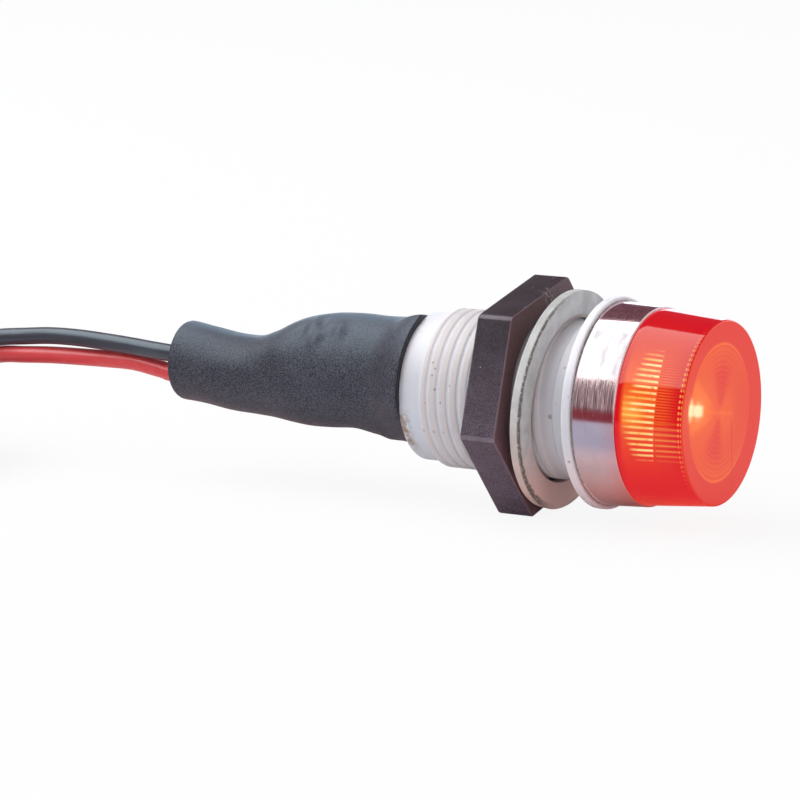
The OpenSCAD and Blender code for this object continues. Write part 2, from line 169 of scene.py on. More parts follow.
class Graph:
    """Builds one material's nodes."""

    def __init__(self, tree: bpy.types.NodeTree) -> None:
        """Empties the tree and keeps it."""
        self.tree = tree
        tree.nodes.clear()

    def node(self, kind: str, settings: dict[str, Any] | None = None, inputs: dict[Any, Any] | None = None,
             out: int | str = 0) -> Sock:
        """Adds any node.

        Args:
            kind: Blender's type name of the node.
            settings: Properties that are set first.
            inputs: Values or links by socket name or number.
            out: Name or number of the wanted output.

        Returns:
            The wanted output as a Sock, which is empty for a node without outputs.
        """
        made = self.tree.nodes.new(kind)
        for key, value in (settings or {}).items():
            setattr(made, key, value)
        for key, value in (inputs or {}).items():
            if isinstance(value, Sock):
                self.tree.links.new(value.socket, made.inputs[key])
            elif isinstance(value, tuple) and made.inputs[key].type == "RGBA":
                made.inputs[key].default_value = (*value, 1.0)
            else:
                made.inputs[key].default_value = value
        return Sock(self, made.outputs[out] if len(made.outputs) else None)

    def mix(self, low: Any, high: Any, factor: Value) -> Sock:
        """Colour from low to high by factor."""
        return self.node("ShaderNodeMix", {"data_type": "RGBA"}, {0: factor, 6: low, 7: high}, 2)

    def layers(self, base: Any, *coats: tuple[Colour, Value]) -> Sock:
        """Colour of base under coats, each a colour and the share of it that covers what lies below."""
        for tint, cover in coats:
            base = self.mix(base, tint, cover)
        return base

    def tone(self, colour: Sock, factor: Value) -> Sock:
        """Colour made lighter or darker by a factor."""
        return self.node("ShaderNodeVectorMath", {"operation": "SCALE"}, {0: colour, "Scale": factor})

    def place(self) -> tuple[Sock, Sock, Sock, Sock]:
        """The point's x, y and z in the lamp's frame, in millimetres, and all three as a vector."""
        raw = self.node("ShaderNodeTexCoord", None, None, "Object")
        parts = self.node("ShaderNodeSeparateXYZ", None, {0: self.tone(raw, 1.0 / MM)})
        x, y, z = (Sock(self, part) for part in parts.socket.node.outputs)
        return x, y, z, self.vector(x, y, z)

    def rays(self) -> tuple[Sock, Sock]:
        """Whether a ray comes straight from the camera, and whether it is a reflection."""
        found = self.node("ShaderNodeLightPath").socket.node.outputs
        return Sock(self, found["Is Camera Ray"]), Sock(self, found["Is Glossy Ray"])

    def vector(self, x: Value, y: Value, z: Value) -> Sock:
        """Three values as one vector."""
        return self.node("ShaderNodeCombineXYZ", None, {0: x, 1: y, 2: z})

    def noise(self, where: Sock, scale: float, detail: float = 2.0, rough: float = 0.5) -> Sock:
        """Smooth noise around 0.5 at a place."""
        values = {"Vector": where, "Scale": scale, "Detail": detail, "Roughness": rough}
        return self.node("ShaderNodeTexNoise", None, values)

    def specks(self, where: Sock, scale: float, size: float) -> Sock:
        """Sparse round specks: 1 within size of a random cell point."""
        far = self.node("ShaderNodeTexVoronoi", None, {"Vector": where, "Scale": scale})
        return far.rise(size, size * 0.5)

    def spot(self, xyz: Sequence[Sock], mark: Mark) -> Sock:
        """A soft round spot, given by its place and size."""
        *at, size = mark
        x, y, z = (value - middle for value, middle in zip(xyz, at))
        return (x * x + y * y + z * z).sqrt().rise(size, size * 0.35)

    def bump(self, height: Sock, distance_mm: float, strength: float) -> Sock:
        """Normal from a height in the range 0 to 1 that stands distance_mm tall."""
        values = {"Strength": strength, "Distance": distance_mm * MM, "Height": height}
        return self.node("ShaderNodeBump", None, values)

    def surface(self, fixed: dict[str, Any], varying: dict[str, Sock]) -> None:
        """Ends the tree in one principled surface.

        Args:
            fixed: Values that are the same all over, by socket name.
            varying: Links, by socket name.
        """
        shader = self.node("ShaderNodeBsdfPrincipled", None, {**fixed, **varying})
        self.node("ShaderNodeOutputMaterial", None, {0: shader})


@dataclass(frozen=True)
class Finish:
    """A named surface finish. Subclasses paint their own nodes."""

    name: str

    def paint(self, graph: Graph) -> None:
        """Adds the finish's nodes to the graph."""
        raise NotImplementedError

    def material(self) -> bpy.types.Material:
        """The finish as a material, made once per name."""
        found = bpy.data.materials.get(self.name)
        if found is None:
            found = bpy.data.materials.new(self.name)
            found.use_nodes = True
            self.paint(Graph(found.node_tree))
        return found


@dataclass(frozen=True)
class LensFinish(Finish):
    """Clear red plastic lit from inside, with glowing flutes, fine rings on its front and a hot spot."""

    deep: Colour = (0.60, 0.004, 0.012)
    low: Colour = (0.74, 0.006, 0.014)
    face: Colour = (0.77, 0.026, 0.013)
    orange: Colour = (1.0, 0.17, 0.02)
    yellow: Colour = (1.0, 0.56, 0.10)
    bead: Colour = (1.0, 0.48, 0.09)
    hot: Colour = (1.0, 0.90, 0.48)
    scratched: Colour = (0.50, 0.012, 0.012)
    shine: Colour = (1.0, 0.98, 0.80)
    rings_per_mm: float = 2.24
    side_glow_deg: float = 7.0
    fan_deg: float = 13.5
    face_glow_deg: float = 10.5
    wedge_deg: float = 13.0
    rings_y: float = -0.6
    rings_z: float = 0.15
    streak_from_x: float = 5.42
    streak_to_x: float = 8.25
    bead_x: float = 10.36
    front_from_x: float = 10.58

    def waves(self, radius: Sock, per_ring: float = 1.0) -> Sock:
        """Waves from 0 to 1 outward over the rings, so many to a ring."""
        return (radius * (self.rings_per_mm * per_ring * math.tau)).sin() * 0.5 + 0.5

    def side(self, graph: Graph, x: Sock, z: Sock, angle: Sock) -> Sock:
        """Colour of the side, all painted glow of the light inside: streaks of light between curved limits,
        fine lines before them and two rows of bright beads.

        Args:
            graph: The material's graph.
            x: Place along the axis.
            z: Height.
            angle: Angle upward from the level of the axis, alike on both sides.

        Returns:
            The colour.
        """
        turn = angle - math.radians(self.side_glow_deg)
        off = angle - math.radians(self.fan_deg)
        count = angle * (FLUTES / math.tau)
        flute = abs(count.fract() - 0.5) * 2.0
        half = abs((count * 2.0).fract() - 0.5) * 2.0
        chance = graph.node(
            "ShaderNodeTexWhiteNoise", {"noise_dimensions": "1D"}, {"W": count.floor()}, "Value")
        ridge = flute.rise(0.58, 0.16)
        ripple = graph.noise(graph.vector(x * 1.6, count * 0.9, 0.0), 1.0, 2.0, 0.6)
        window = abs(off + 0.03).rise(0.62, 0.48)
        strong = turn.rise(0.15, -0.30)
        first = self.streak_from_x + turn * turn * 2.2 + chance * 0.5
        final = self.streak_to_x - off * off * 0.7
        streak = (x - first).rise(-0.25, 0.7) * (final - x).rise(-0.04, 0.10) * ridge * window
        streak = streak * ripple.rise(0.16, 0.50)
        bright = chance.rise(0.35, 0.9) * 0.6 + strong * 0.2 + x.rise(7.0, 8.1) * 0.3
        glow = off.bell(0.0, 0.50)
        belly = x.rise(4.95, 5.45) * x.rise(10.5, 8.6) * glow
        core = turn.bell(0.0, 0.13) * x.rise(5.20, 5.55) * x.rise(7.8, 6.2)
        ahead = x.rise(8.15, 8.35) * x.rise(10.3, 10.15)
        fine = half.rise(0.3, 0.75) * ahead * (0.6 + ripple * 0.8)
        tails = flute.rise(0.42, 0.10) * ahead * turn.rise(0.0, -0.25) * abs(off).rise(0.68, 0.50)
        rows = x.bell(self.bead_x, 0.065) + x.bell(self.bead_x + 0.21, 0.04) * 0.8
        beads = rows * flute.rise(0.65, 0.25) * abs(off).rise(1.1, 0.5)
        # Painted light: brighter red toward the bottom and more orange at the very bottom, orange, yellow and
        # pale streaks and beads of glow along the flutes, and darker fine lines before the streaks.
        return graph.layers(
            self.deep,
            (self.low, z.rise(4.0, -3.0)),
            (self.orange, z.rise(-6.2, -8.2) * 0.22),
            (self.orange, belly * (0.50 + ripple * 0.25)),
            (self.deep, (fine * off.bell(0.0, 0.75)).least(1.0) * 0.8),
            (self.bead, tails * (0.25 + ripple * 0.35)),
            (self.yellow, core * (0.45 + ridge * 0.45)),
            (self.yellow, (streak * (0.55 + chance * 0.4 + strong * 0.3)).least(1.0)),
            (self.hot, streak * bright.least(1.0)),
            (self.bead, beads * (0.35 + glow * 0.6)))

    def front(self, graph: Graph, y: Sock, z: Sock, radius: Sock, angle: Sock) -> Sock:
        """Colour of the front: a wedge of light over fine rings, dark lobes, bright arcs and a hot spot.

        Args:
            graph: The material's graph.
            y: Place across, from the middle of the rings.
            z: Height above the middle of the rings.
            radius: Distance from the middle of the rings.
            angle: Angle from the near side upward.

        Returns:
            The colour.
        """
        tip = math.radians(self.face_glow_deg)
        along = z * math.sin(tip) - y * math.cos(tip)
        across = z * math.cos(tip) + y * math.sin(tip)
        wave = self.waves(radius)
        fine = self.waves(radius, 2.5)
        turn = abs(angle - math.radians(self.wedge_deg))
        steep = abs(angle.sin()) ** 2.0
        fan = along.rise(-6.0, 5.0) * across.bell(0.0, 3.6)
        wedge = turn.rise(0.52, 0.32) * radius.rise(0.4, 3.2)
        lobes = abs(turn - 1.46).rise(0.70, 0.18) * radius.rise(0.25, 0.9) * radius.rise(5.0, 3.2)
        far = turn.rise(1.9, 2.5) * radius.rise(3.6, 1.6)
        ray_on = across.bell(0.0, 0.13) * along.rise(-3.2, -2.4)
        rings = (wave * 0.17 + fine * 0.08) * (0.4 + steep * radius.rise(2.0, 5.2) * 0.9)
        light = 0.14 + rings + fan * 0.24 + wedge * 0.38 + far * 0.16 + ray_on * 0.22 - lobes * 0.28
        warm = radius.rise(6.2, 5.5) * light + fan * 0.20
        arcs = radius.bell(5.83, 0.12) * (steep * 0.68 + 0.08) + radius.bell(5.32, 0.09) * steep * 0.35
        near = along.bell(4.4, 1.5) * across.bell(0.0, 1.1)
        bar = along.bell(5.7, 0.30) * abs(across).rise(1.25, 0.35)
        ray = abs(across).rise(0.62, 0.25) * along.rise(2.9, 4.0) * along.rise(6.3, 6.0)
        blob = along.bell(4.3, 0.65) * across.bell(0.0, 0.55)
        hot = (bar * 0.75 + ray * 0.7 + blob) * (0.75 + wave * 0.25)
        scratch = (y + z * 0.047).bell(2.365, 0.07) * z.band(-4.05, 2.9, 0.4)
        return graph.layers(
            self.face,
            (self.orange, warm.most(0.0).least(1.0)),
            (self.orange, arcs),
            (self.orange, near * 0.9),
            (self.yellow, (bar + ray + near * 0.25).least(1.0) * 0.6),
            (self.hot, hot.least(1.0)),
            (self.scratched, scratch * 0.6))

    def paint(self, graph: Graph) -> None:
        """Paints the side by place along the axis and angle, and the front by radius and angle."""
        x, y, z, _ = graph.place()
        aside = y - self.rings_y
        lift = z - self.rings_z
        radius = (aside * aside + lift * lift).sqrt()
        on_front = x.rise(self.front_from_x, self.front_from_x + 0.08)
        front = self.front(graph, aside, lift, radius, lift.atan2(-aside))
        colour = graph.mix(self.side(graph, x, z, z.atan2(abs(y))), front, on_front)
        scuff = graph.noise(graph.vector(x * 0.4, y * 0.4, z * 0.4), 1.0, 3.0)
        height = self.waves(radius) * radius.rise(5.9, 5.7) * on_front + scuff * 0.2
        graph.surface(
            {"IOR": 1.5, "Specular Tint": self.shine, "Emission Strength": 0.55},
            {"Base Color": graph.tone(colour, 0.55), "Emission Color": colour,
             "Roughness": 0.05 + scuff * 0.05, "Normal": graph.bump(height, 0.006, 0.25)})


@dataclass(frozen=True)
class ChromeFinish(Finish):
    """Bright plate over coarse brushing, with dirt in the seam at its rear, painted reflections in bands by
    angle, painted red light from the lens and a painted highlight along its pale front edge.
    """

    plate: Colour = (0.80, 0.79, 0.81)
    dull: Colour = (0.58, 0.50, 0.54)
    dirt: Colour = (0.16, 0.10, 0.07)
    glow: Colour = (1.0, 0.36, 0.33)
    scratched: Colour = (0.92, 0.58, 0.56)
    reflection_streak: Colour = (0.42, 0.42, 0.435)
    grey: Colour = (0.245, 0.245, 0.265)
    upper_reflection: Colour = (0.95, 0.70, 0.76)
    upper_reflection_hair: Colour = (0.50, 0.34, 0.40)
    under: Colour = (1.0, 0.72, 0.68)
    cool: Colour = (0.66, 0.66, 0.74)
    line: Colour = (0.74, 0.40, 0.44)
    edge_highlight: Colour = (1.0, 0.84, 0.82)
    edge_x: float = 4.58

    def paint(self, graph: Graph) -> None:
        """Brushing runs round the ring: noise that changes fast along the axis and slowly round it."""
        x, y, z, where = graph.place()
        angle = z.atan2(abs(y))
        hair = graph.noise(graph.vector(x * 10.0, angle * 3.2, 0.0), 1.0, 3.0, 0.65)
        fine = graph.noise(graph.vector(x * 7.0, angle * 15.0, 3.0), 1.0, 2.0, 0.6)
        patch = graph.noise(graph.vector(x * 1.1, angle * 2.4, 5.0), 1.0, 4.0, 0.6).rise(0.34, 0.70)
        cloud = graph.noise(where, 0.5, 4.0, 0.6)
        band = angle.rise(0.06, 0.16) * angle.rise(0.48, 0.40)
        brushed = hair.rise(0.34, 0.70) * (0.10 + band * 0.90)
        pits = graph.specks(where, 1.1, 0.06)
        seam = x.rise(1.05, 0.8) * graph.noise(where, 1.4, 2.0).rise(0.32, 0.55)
        dirty = (seam * 0.8 + pits * 0.7).least(1.0)
        worn = cloud.rise(0.38, 0.68) * 0.5 + hair.rise(0.45, 0.75) * 0.3
        lit = angle.band(0.70, 0.22, 0.12)
        edge = x.rise(self.edge_x, self.edge_x + 0.05) * angle.rise(-0.15, 0.4)
        # Painted reflections by angle: dark streaks and grey patches in the band that mirrors the softbox, a
        # pink tint with darker hairs on top, a warm tint underneath, a cool band below the axis and a pinkish
        # line at its level. Painted light: red from the lens near the front, and a painted highlight on the
        # upper part of the front edge. The dull wear, the pale brushing, strongest just above the axis, and
        # the seam dirt are the plate's own.
        colour = graph.layers(
            self.plate,
            (self.dull, worn * (0.35 + angle.rise(0.1, -0.5) * 0.25)),
            (self.reflection_streak, lit * 0.9),
            (self.grey, (patch + hair.rise(0.50, 0.74) * 0.55).least(1.0) * lit),
            (self.upper_reflection, angle.rise(0.95, 1.2)),
            (self.upper_reflection_hair, angle.rise(0.98, 1.1) * fine.rise(0.45, 0.68) * 0.7),
            (self.under, angle.rise(-0.45, -0.95)),
            (self.glow, x.rise(3.0, 4.6) * angle.rise(0.5, -0.2) * 0.35),
            (self.scratched, brushed * 0.8),
            (self.cool, angle.band(-0.35, 0.12, 0.15) * 0.35),
            (self.line, angle.band(0.05, 0.05, 0.04) * 0.5),
            (self.dirt, dirty),
            (self.edge_highlight, edge * 0.9))
        graph.surface(
            {"IOR": 2.4},
            {"Base Color": colour, "Metallic": (1.0 - dirty * 0.7 - brushed * 0.6 - edge * 0.9).most(0.0),
             "Roughness": 0.07 + brushed * 0.22 + cloud * 0.08 + dirty * 0.3 + edge * 0.3,
             "Normal": graph.bump(fine * (0.15 + band * 0.85), 0.03, 0.35)})


@dataclass(frozen=True)
class NylonFinish(Finish):
    """White moulded plastic with painted light and shade: thread crests painted warmer and darker and roots
    paler against the thread's own shading, shade painted toward the bottom, on the lower tail, beside the
    washer and round the neck, red light from the lens painted under the flange; also brown marks, soot and a
    stain on its tail.
    """

    white: Colour = (0.86, 0.865, 0.90)
    shaded: Colour = (0.65, 0.665, 0.705)
    warm: Colour = (0.72, 0.65, 0.62)
    root: Colour = (0.95, 0.97, 1.0)
    tail: Colour = (0.62, 0.69, 0.77)
    under: Colour = (0.72, 0.68, 0.67)
    flange_red_light: Colour = (0.92, 0.74, 0.75)
    relief_shade: Colour = (0.46, 0.37, 0.31)
    neck_shade: Colour = (0.56, 0.54, 0.56)
    brown: Colour = (0.26, 0.15, 0.08)
    soot: Colour = (0.07, 0.055, 0.05)
    scatter: Colour = (1.0, 0.9, 0.85)
    marks: tuple[Mark, ...] = ()
    dots: tuple[Mark, ...] = ()

    def paint(self, graph: Graph) -> None:
        """Tints by radius in the thread, mottles by noise, and adds the listed marks and dots."""
        x, y, z, where = graph.place()
        radius = (y * y + z * z).sqrt()
        mottle = graph.noise(where, 0.45, 3.0)
        grain = graph.noise(where, 6.0, 3.0)
        thread = x.rise(-2.9, -3.3) * x.rise(-15.4, -14.9)
        crests = radius.rise(6.84, 6.96) * thread
        roots = radius.rise(6.94, 6.82) * thread
        low = z.rise(-1.0, -7.0)
        # Painted shade: darker below the top; the thread crests are painted warmer and darker against the
        # light they catch, with random warm mottle as well.
        colour = graph.layers(
            self.white,
            (self.shaded, z.rise(5.5, 1.5)),
            (self.warm, crests * 0.55 + mottle.rise(0.45, 0.75) * 0.18))
        # Painted light and shade: the thread a tenth darker, its roots painted paler against their shade, the
        # lower tail painted bluer and darker, darker toward the bottom, red light from the lens painted under
        # the flange, and shade painted beside the washer and round the neck.
        colour = graph.layers(
            graph.tone(colour, 1.0 - thread * 0.10),
            (self.root, roots * 0.55),
            (self.tail, x.rise(-14.9, -15.3) * z.rise(2.0, -3.0) * 0.5),
            (self.under, low * 0.4),
            (self.flange_red_light, low * x.rise(-0.3, 0.0) * 0.6),
            (self.relief_shade, x.rise(-2.3, -2.9) * x.rise(-4.2, -3.6) * 0.25),
            (self.neck_shade, x.band(-2.2, 1.0, 0.9) * radius.rise(7.6, 7.3) * 0.4))
        fleck = graph.specks(where, 0.5, 0.06) * 0.6
        seam = x.band(0.76, 0.04, 0.07) * radius.rise(9.0, 8.85) * grain.rise(0.3, 0.55)
        patchy = graph.noise(where, 1.9, 4.0, 0.7).rise(0.36, 0.62)
        smear = x.rise(-15.7, -16.9) * z.band(-3.2, 1.1, 1.3) * patchy
        stain = fleck + seam * 0.8 + smear * y.rise(0.0, -2.0) * 1.3
        stain = sum((graph.spot((x, y, z), mark) for mark in self.marks), stain)
        colour = graph.layers(
            colour,
            (self.brown, (stain * (0.3 + grain * 0.6)).least(0.85)),
            *((self.soot, graph.spot((x, y, z), dot) * 0.55) for dot in self.dots))
        graph.surface(
            {"IOR": 1.5, "Subsurface Weight": 0.6, "Subsurface Radius": self.scatter,
             "Subsurface Scale": 0.9 * MM},
            {"Base Color": colour, "Roughness": 0.42 + mottle * 0.2,
             "Normal": graph.bump(grain * 0.5 + mottle * 0.5, 0.02, 0.3)})


@dataclass(frozen=True)
class FibreFinish(Finish):
    """Grey die-cut sheet with short fibres, a dark sheared line on its front rim and painted warm light from
    the lens toward its lower edge.
    """

    grey: Colour = (0.45, 0.45, 0.435)
    pale: Colour = (0.66, 0.665, 0.655)
    warm: Colour = (0.82, 0.52, 0.45)
    rim: Colour = (0.56, 0.42, 0.36)
    bore: Colour = (0.30, 0.20, 0.14)
    dark: Colour = (0.12, 0.10, 0.085)
    centre: Point = (0.0, 0.0, 0.0)
    lean_deg: float = 0.0
    rim_r: float = 1.0
    half_t: float = 1.0

    def paint(self, graph: Graph) -> None:
        """Works in the leaning washer's own depth, so the sheared line follows its rim."""
        x, y, z, where = graph.place()
        tip = math.radians(self.lean_deg)
        depth = (x - self.centre[0]) * math.cos(tip) - (z - self.centre[2]) * math.sin(tip)
        radius = (y * y + z * z).sqrt()
        cloud = graph.noise(where, 0.5, 4.0, 0.65)
        fibre = graph.noise(graph.vector(x * 3.0, y * 9.0, z * 2.0), 1.0, 3.0, 0.7)
        uneven = graph.noise(where, 1.2, 3.0) * 0.5
        shear = (radius + uneven).rise(self.rim_r - 0.22, self.rim_r - 0.02)
        shear = shear * depth.rise(0.22, self.half_t - 0.06)
        ragged = graph.noise(where, 3.6, 3.0, 0.7).rise(0.26, 0.52) * y.rise(-1.0, -5.5)
        # Painted light: the lower part is tinted warm as if lit by the red lens. The rim is also browner
        # toward the bottom and the bore's edge browner in clouds.
        colour = graph.layers(
            self.grey,
            (self.pale, cloud.rise(0.3, 0.7) * 0.7 + fibre * 0.2),
            (self.warm, z.rise(-1.5, -8.0) * 0.9),
            (self.rim, radius.rise(9.25, 9.5) * z.rise(1.0, -3.0) * 0.35),
            (self.bore, radius.rise(7.5, 7.22) * cloud.rise(0.2, 0.6) * 0.6),
            (self.dark, shear * ragged * 0.9),
            (self.dark, graph.specks(where, 0.8, 0.05) * 0.6))
        graph.surface(
            {"IOR": 1.45},
            {"Base Color": colour, "Roughness": 0.62 + fibre * 0.2,
             "Normal": graph.bump(fibre * 0.6 + cloud * 0.4, 0.03, 0.6)})


@dataclass(frozen=True)
class NutFinish(Finish):
    """Black moulded plastic with a purple cast, fine grain, painted light and shade by height, painted red
    light on its front face, paler edges that are wear and painted highlight at once, and one scuffed corner.
    """

    black: Colour = (0.034, 0.022, 0.028)
    purple: Colour = (0.132, 0.099, 0.140)
    front: Colour = (0.17, 0.076, 0.076)
    worn: Colour = (0.30, 0.26, 0.29)
    speck: Colour = (0.45, 0.43, 0.44)
    scuff: Mark = (-5.8, -0.4, 8.8, 1.3)
    apothem: float = 1.0
    front_x: float = 0.0
    back_x: float = -1.0

    def paint(self, graph: Graph) -> None:
        """Edge wear, which also stands in for thin highlights along the edges, comes from the distance to the
        hexagon's corners and to its two faces.
        """
        x, y, z, where = graph.place()
        radius = (y * y + z * z).sqrt()
        corner = radius.rise(self.apothem + 1.26, self.apothem + 1.33)
        rim = abs(x - (self.front_x + self.back_x) * 0.5).band(1.59, 0.03, 0.05) * radius.rise(8.9, 9.1)
        cloud = graph.noise(where, 0.6, 4.0, 0.6)
        grain = graph.noise(where, 11.0, 0.0)
        drawn = graph.noise(graph.vector(x * 0.5, y * 5.0, z * 5.0), 1.0, 2.0)
        wear_and_highlight = (corner * 0.8 + rim * 0.45) * (0.4 + cloud * 0.9)
        mottle = cloud.rise(0.35, 0.7) * 0.2 + 0.1 + grain.rise(0.40, 0.66) * 0.6
        hairs = abs(graph.noise(where, 1.3, 1.0) - 0.5).rise(0.035, 0.015)
        scuff = graph.spot((x, y, z), self.scuff) * hairs
        colour = graph.mix(self.black, self.purple, mottle)
        # Painted light and shade: lighter toward the bottom and darker toward the top, red light from the
        # lens painted on the front face, and pale edges that are both wear and painted highlight.
        colour = graph.layers(
            graph.tone(colour, 1.3 - z.rise(-7.0, 5.5) * 0.66 - z.rise(3.5, 6.0) * 0.2),
            (self.front, x.rise(self.front_x - 0.25, self.front_x - 0.02) * 0.6),
            (self.worn, wear_and_highlight.least(1.0) * 0.65),
            (self.speck, (graph.specks(where, 0.55, 0.035) + scuff * 0.5).least(1.0)))
        graph.surface(
            {"IOR": 1.5},
            {"Base Color": colour, "Roughness": 0.40 + cloud * 0.22,
             "Normal": graph.bump(grain * 0.5 + drawn * 0.3 + cloud * 0.2, 0.02, 0.4)})


@dataclass(frozen=True)
class ShrinkFinish(Finish):
    """Matte black shrunk tube, painted paler and bluer on top as light and a cool highlight, with fine grain,
    two nicks and a darkened front edge.
    """

    black: Colour = (0.024, 0.025, 0.032)
    pale: Colour = (0.100, 0.100, 0.122)
    painted_upper_light: Colour = (0.125, 0.155, 0.190)
    top: Colour = (0.20, 0.28, 0.36)
    speck: Colour = (0.34, 0.36, 0.38)
    cut: Colour = (0.022, 0.016, 0.016)
    shine: Colour = (0.63, 0.84, 1.0)
    cut_x: float = -17.19
    nicks: tuple[Mark, ...] = ((-17.85, -5.67, 3.38, 0.3), (-18.23, -5.85, 2.59, 0.3))

    def paint(self, graph: Graph) -> None:
        """Mottles the colour, stretches a little grain along the tube and scatters specks."""
        x, y, z, where = graph.place()
        angle = z.atan2(abs(y))
        cloud = graph.noise(where, 0.35, 4.0, 0.6)
        grain = graph.noise(where, 9.6, 0.0)
        drawn = graph.noise(graph.vector(x * 0.6, y * 3.0, z * 3.0), 1.0, 3.0)
        first, second = (graph.spot((x, y, z), nick) for nick in self.nicks)
        pale = graph.specks(where, 1.3, 0.045) * 0.55 + (first + second) * grain.rise(0.35, 0.6)
        past = x + angle.rise(1.1, 1.4) * 0.12
        # Painted light: the upper part is painted paler and bluer and the very top bluer still, as light and
        # a cool highlight from above. The front edge is painted near black from cut_x on, a little further
        # back near the top.
        colour = graph.layers(
            self.black,
            (self.pale, cloud.rise(0.35, 0.75) * 0.15 + grain.rise(0.36, 0.64) * 0.75),
            (self.painted_upper_light, angle.rise(0.45, 1.35) * (0.35 + grain * 0.5)),
            (self.top, angle.rise(1.15, 1.55) * 0.55),
            (self.speck, pale.least(1.0)),
            (self.cut, past.rise(self.cut_x, self.cut_x + 0.1)))
        graph.surface(
            {"IOR": 1.5, "Specular Tint": self.shine},
            {"Base Color": colour, "Roughness": 0.42 + cloud * 0.14,
             "Normal": graph.bump(grain * 0.5 + drawn * 0.25 + cloud * 0.25, 0.05, 0.5)})


@dataclass(frozen=True)
class InsulationFinish(Finish):
    """Smooth extruded lead insulation."""

    colour: Colour = (0.5, 0.05, 0.05)
    worn: Colour = (0.6, 0.1, 0.1)
    shine: Colour = (0.74, 0.90, 1.0)

    def paint(self, graph: Graph) -> None:
        """Slow colour drift along the lead and faint drawn lines."""
        x, y, z, where = graph.place()
        cloud = graph.noise(where, 0.4, 3.0)
        drawn = graph.noise(graph.vector(x * 0.8, y * 6.0, z * 6.0), 1.0, 2.0)
        colour = graph.mix(self.colour, self.worn, cloud.rise(0.4, 0.75) * 0.6)
        graph.surface(
            {"IOR": 1.8, "Specular Tint": self.shine},
            {"Base Color": colour, "Roughness": 0.27 + drawn * 0.12,
             "Normal": graph.bump(drawn, 0.01, 0.35)})


@dataclass(frozen=True)
class MetalFinish(Finish):
    """Tinned or soldered metal."""

    colour: Colour = (0.62, 0.62, 0.64)
    dull: Colour = (0.45, 0.44, 0.43)
    roughness: float = 0.28

    def paint(self, graph: Graph) -> None:
        """Dulls the metal in soft clouds."""
        cloud = graph.noise(graph.place()[3], 1.6, 4.0)
        colour = graph.mix(self.colour, self.dull, cloud.rise(0.45, 0.8))
        graph.surface(
            {"Metallic": 1.0},
            {"Base Color": colour, "Roughness": self.roughness + cloud * 0.2,
             "Normal": graph.bump(cloud, 0.01, 0.3)})


@dataclass(frozen=True)
class LacquerFinish(Finish):
    """Glossy moulded or lacquered piece, optionally with colour rings along the axis."""

    colour: Colour = (0.72, 0.52, 0.30)
    rings: tuple[tuple[float, Colour], ...] = ()
    roughness: float = 0.3

    def paint(self, graph: Graph) -> None:
        """Base colour with cloud, and one painted ring for each place in rings."""
        x, _, _, where = graph.place()
        cloud = graph.noise(where, 1.2, 3.0)
        darker = tuple(c * 0.8 for c in self.colour)
        colour = graph.layers(
            self.colour,
            (darker, cloud.rise(0.4, 0.8)),
            *((tint, x.band(place, 0.28, 0.05)) for place, tint in self.rings))
        graph.surface(
            {"IOR": 1.5},
            {"Base Color": colour, "Roughness": self.roughness + cloud * 0.1,
             "Normal": graph.bump(cloud, 0.01, 0.2)})


def smooth(t: Array) -> Array:
    """Smooth step 3t^2 - 2t^3 with t held between 0 and 1."""
    t = np.clip(t, 0.0, 1.0)
    return t * t * (3.0 - 2.0 * t)


def spline(knots: Array, values: Array, at: Array) -> Array:
    """Catmull-Rom curve through values at knots.

    On the span from b to c with neighbours a and d it is
    (2b + (c - a)t + (2a - 5b + 4c - d)t^2 + (3b - a - 3c + d)t^3) / 2.

    Args:
        knots: Rising places of the values.
        values: One row per knot.
        at: Places to evaluate.

    Returns:
        One row per place.
    """
    last = len(knots) - 1
    i = np.clip(np.searchsorted(knots, at, side="right") - 1, 0, last - 1)
    t = np.clip((at - knots[i]) / (knots[i + 1] - knots[i]), 0.0, 1.0)[..., None]
    a, b = values[np.maximum(i - 1, 0)], values[i]
    c, d = values[i + 1], values[np.minimum(i + 2, last)]
    second = 2 * a - 5 * b + 4 * c - d
    third = 3 * b - a - 3 * c + d
    return 0.5 * (2 * b + (c - a) * t + second * t ** 2 + third * t ** 3)


def columns(*values: Array | float) -> Array:
    """Points from one column of values for each coordinate, where a single number holds for all points."""
    return np.stack(np.broadcast_arrays(*(np.asarray(v, float) for v in values)), -1)


def rounded(points: Sequence[tuple[float, float]], radius: float, closed: bool = True,
            steps: int = 4) -> Array:
    """Outline with its corners rounded by quadratic arcs (1-t)^2 A + 2t(1-t) C + t^2 B.

    Args:
        points: Corners as (x, r).
        radius: Distance from a corner at which its arc starts, at most 0.45 of the edge.
        closed: Whether the last point joins the first.
        steps: Pieces in each arc.

    Returns:
        Outline points as an array.
    """
    p = np.asarray(points, float)

    def cut(toward: Array) -> Array:
        """Points on the edges that lead toward other corners, radius away from each corner."""
        length = np.linalg.norm(toward, axis=1)
        return p + toward * (np.minimum(radius, 0.45 * length) / length)[:, None]
    start = cut(np.roll(p, 1, 0) - p)[:, None]
    end = cut(np.roll(p, -1, 0) - p)[:, None]
    t = np.linspace(0.0, 1.0, steps + 1)[None, :, None]
    arcs = (1 - t) ** 2 * start + 2 * t * (1 - t) * p[:, None] + t ** 2 * end
    if not closed:
        arcs[0], arcs[-1] = p[0], p[-1]
    return arcs.reshape(-1, 2)


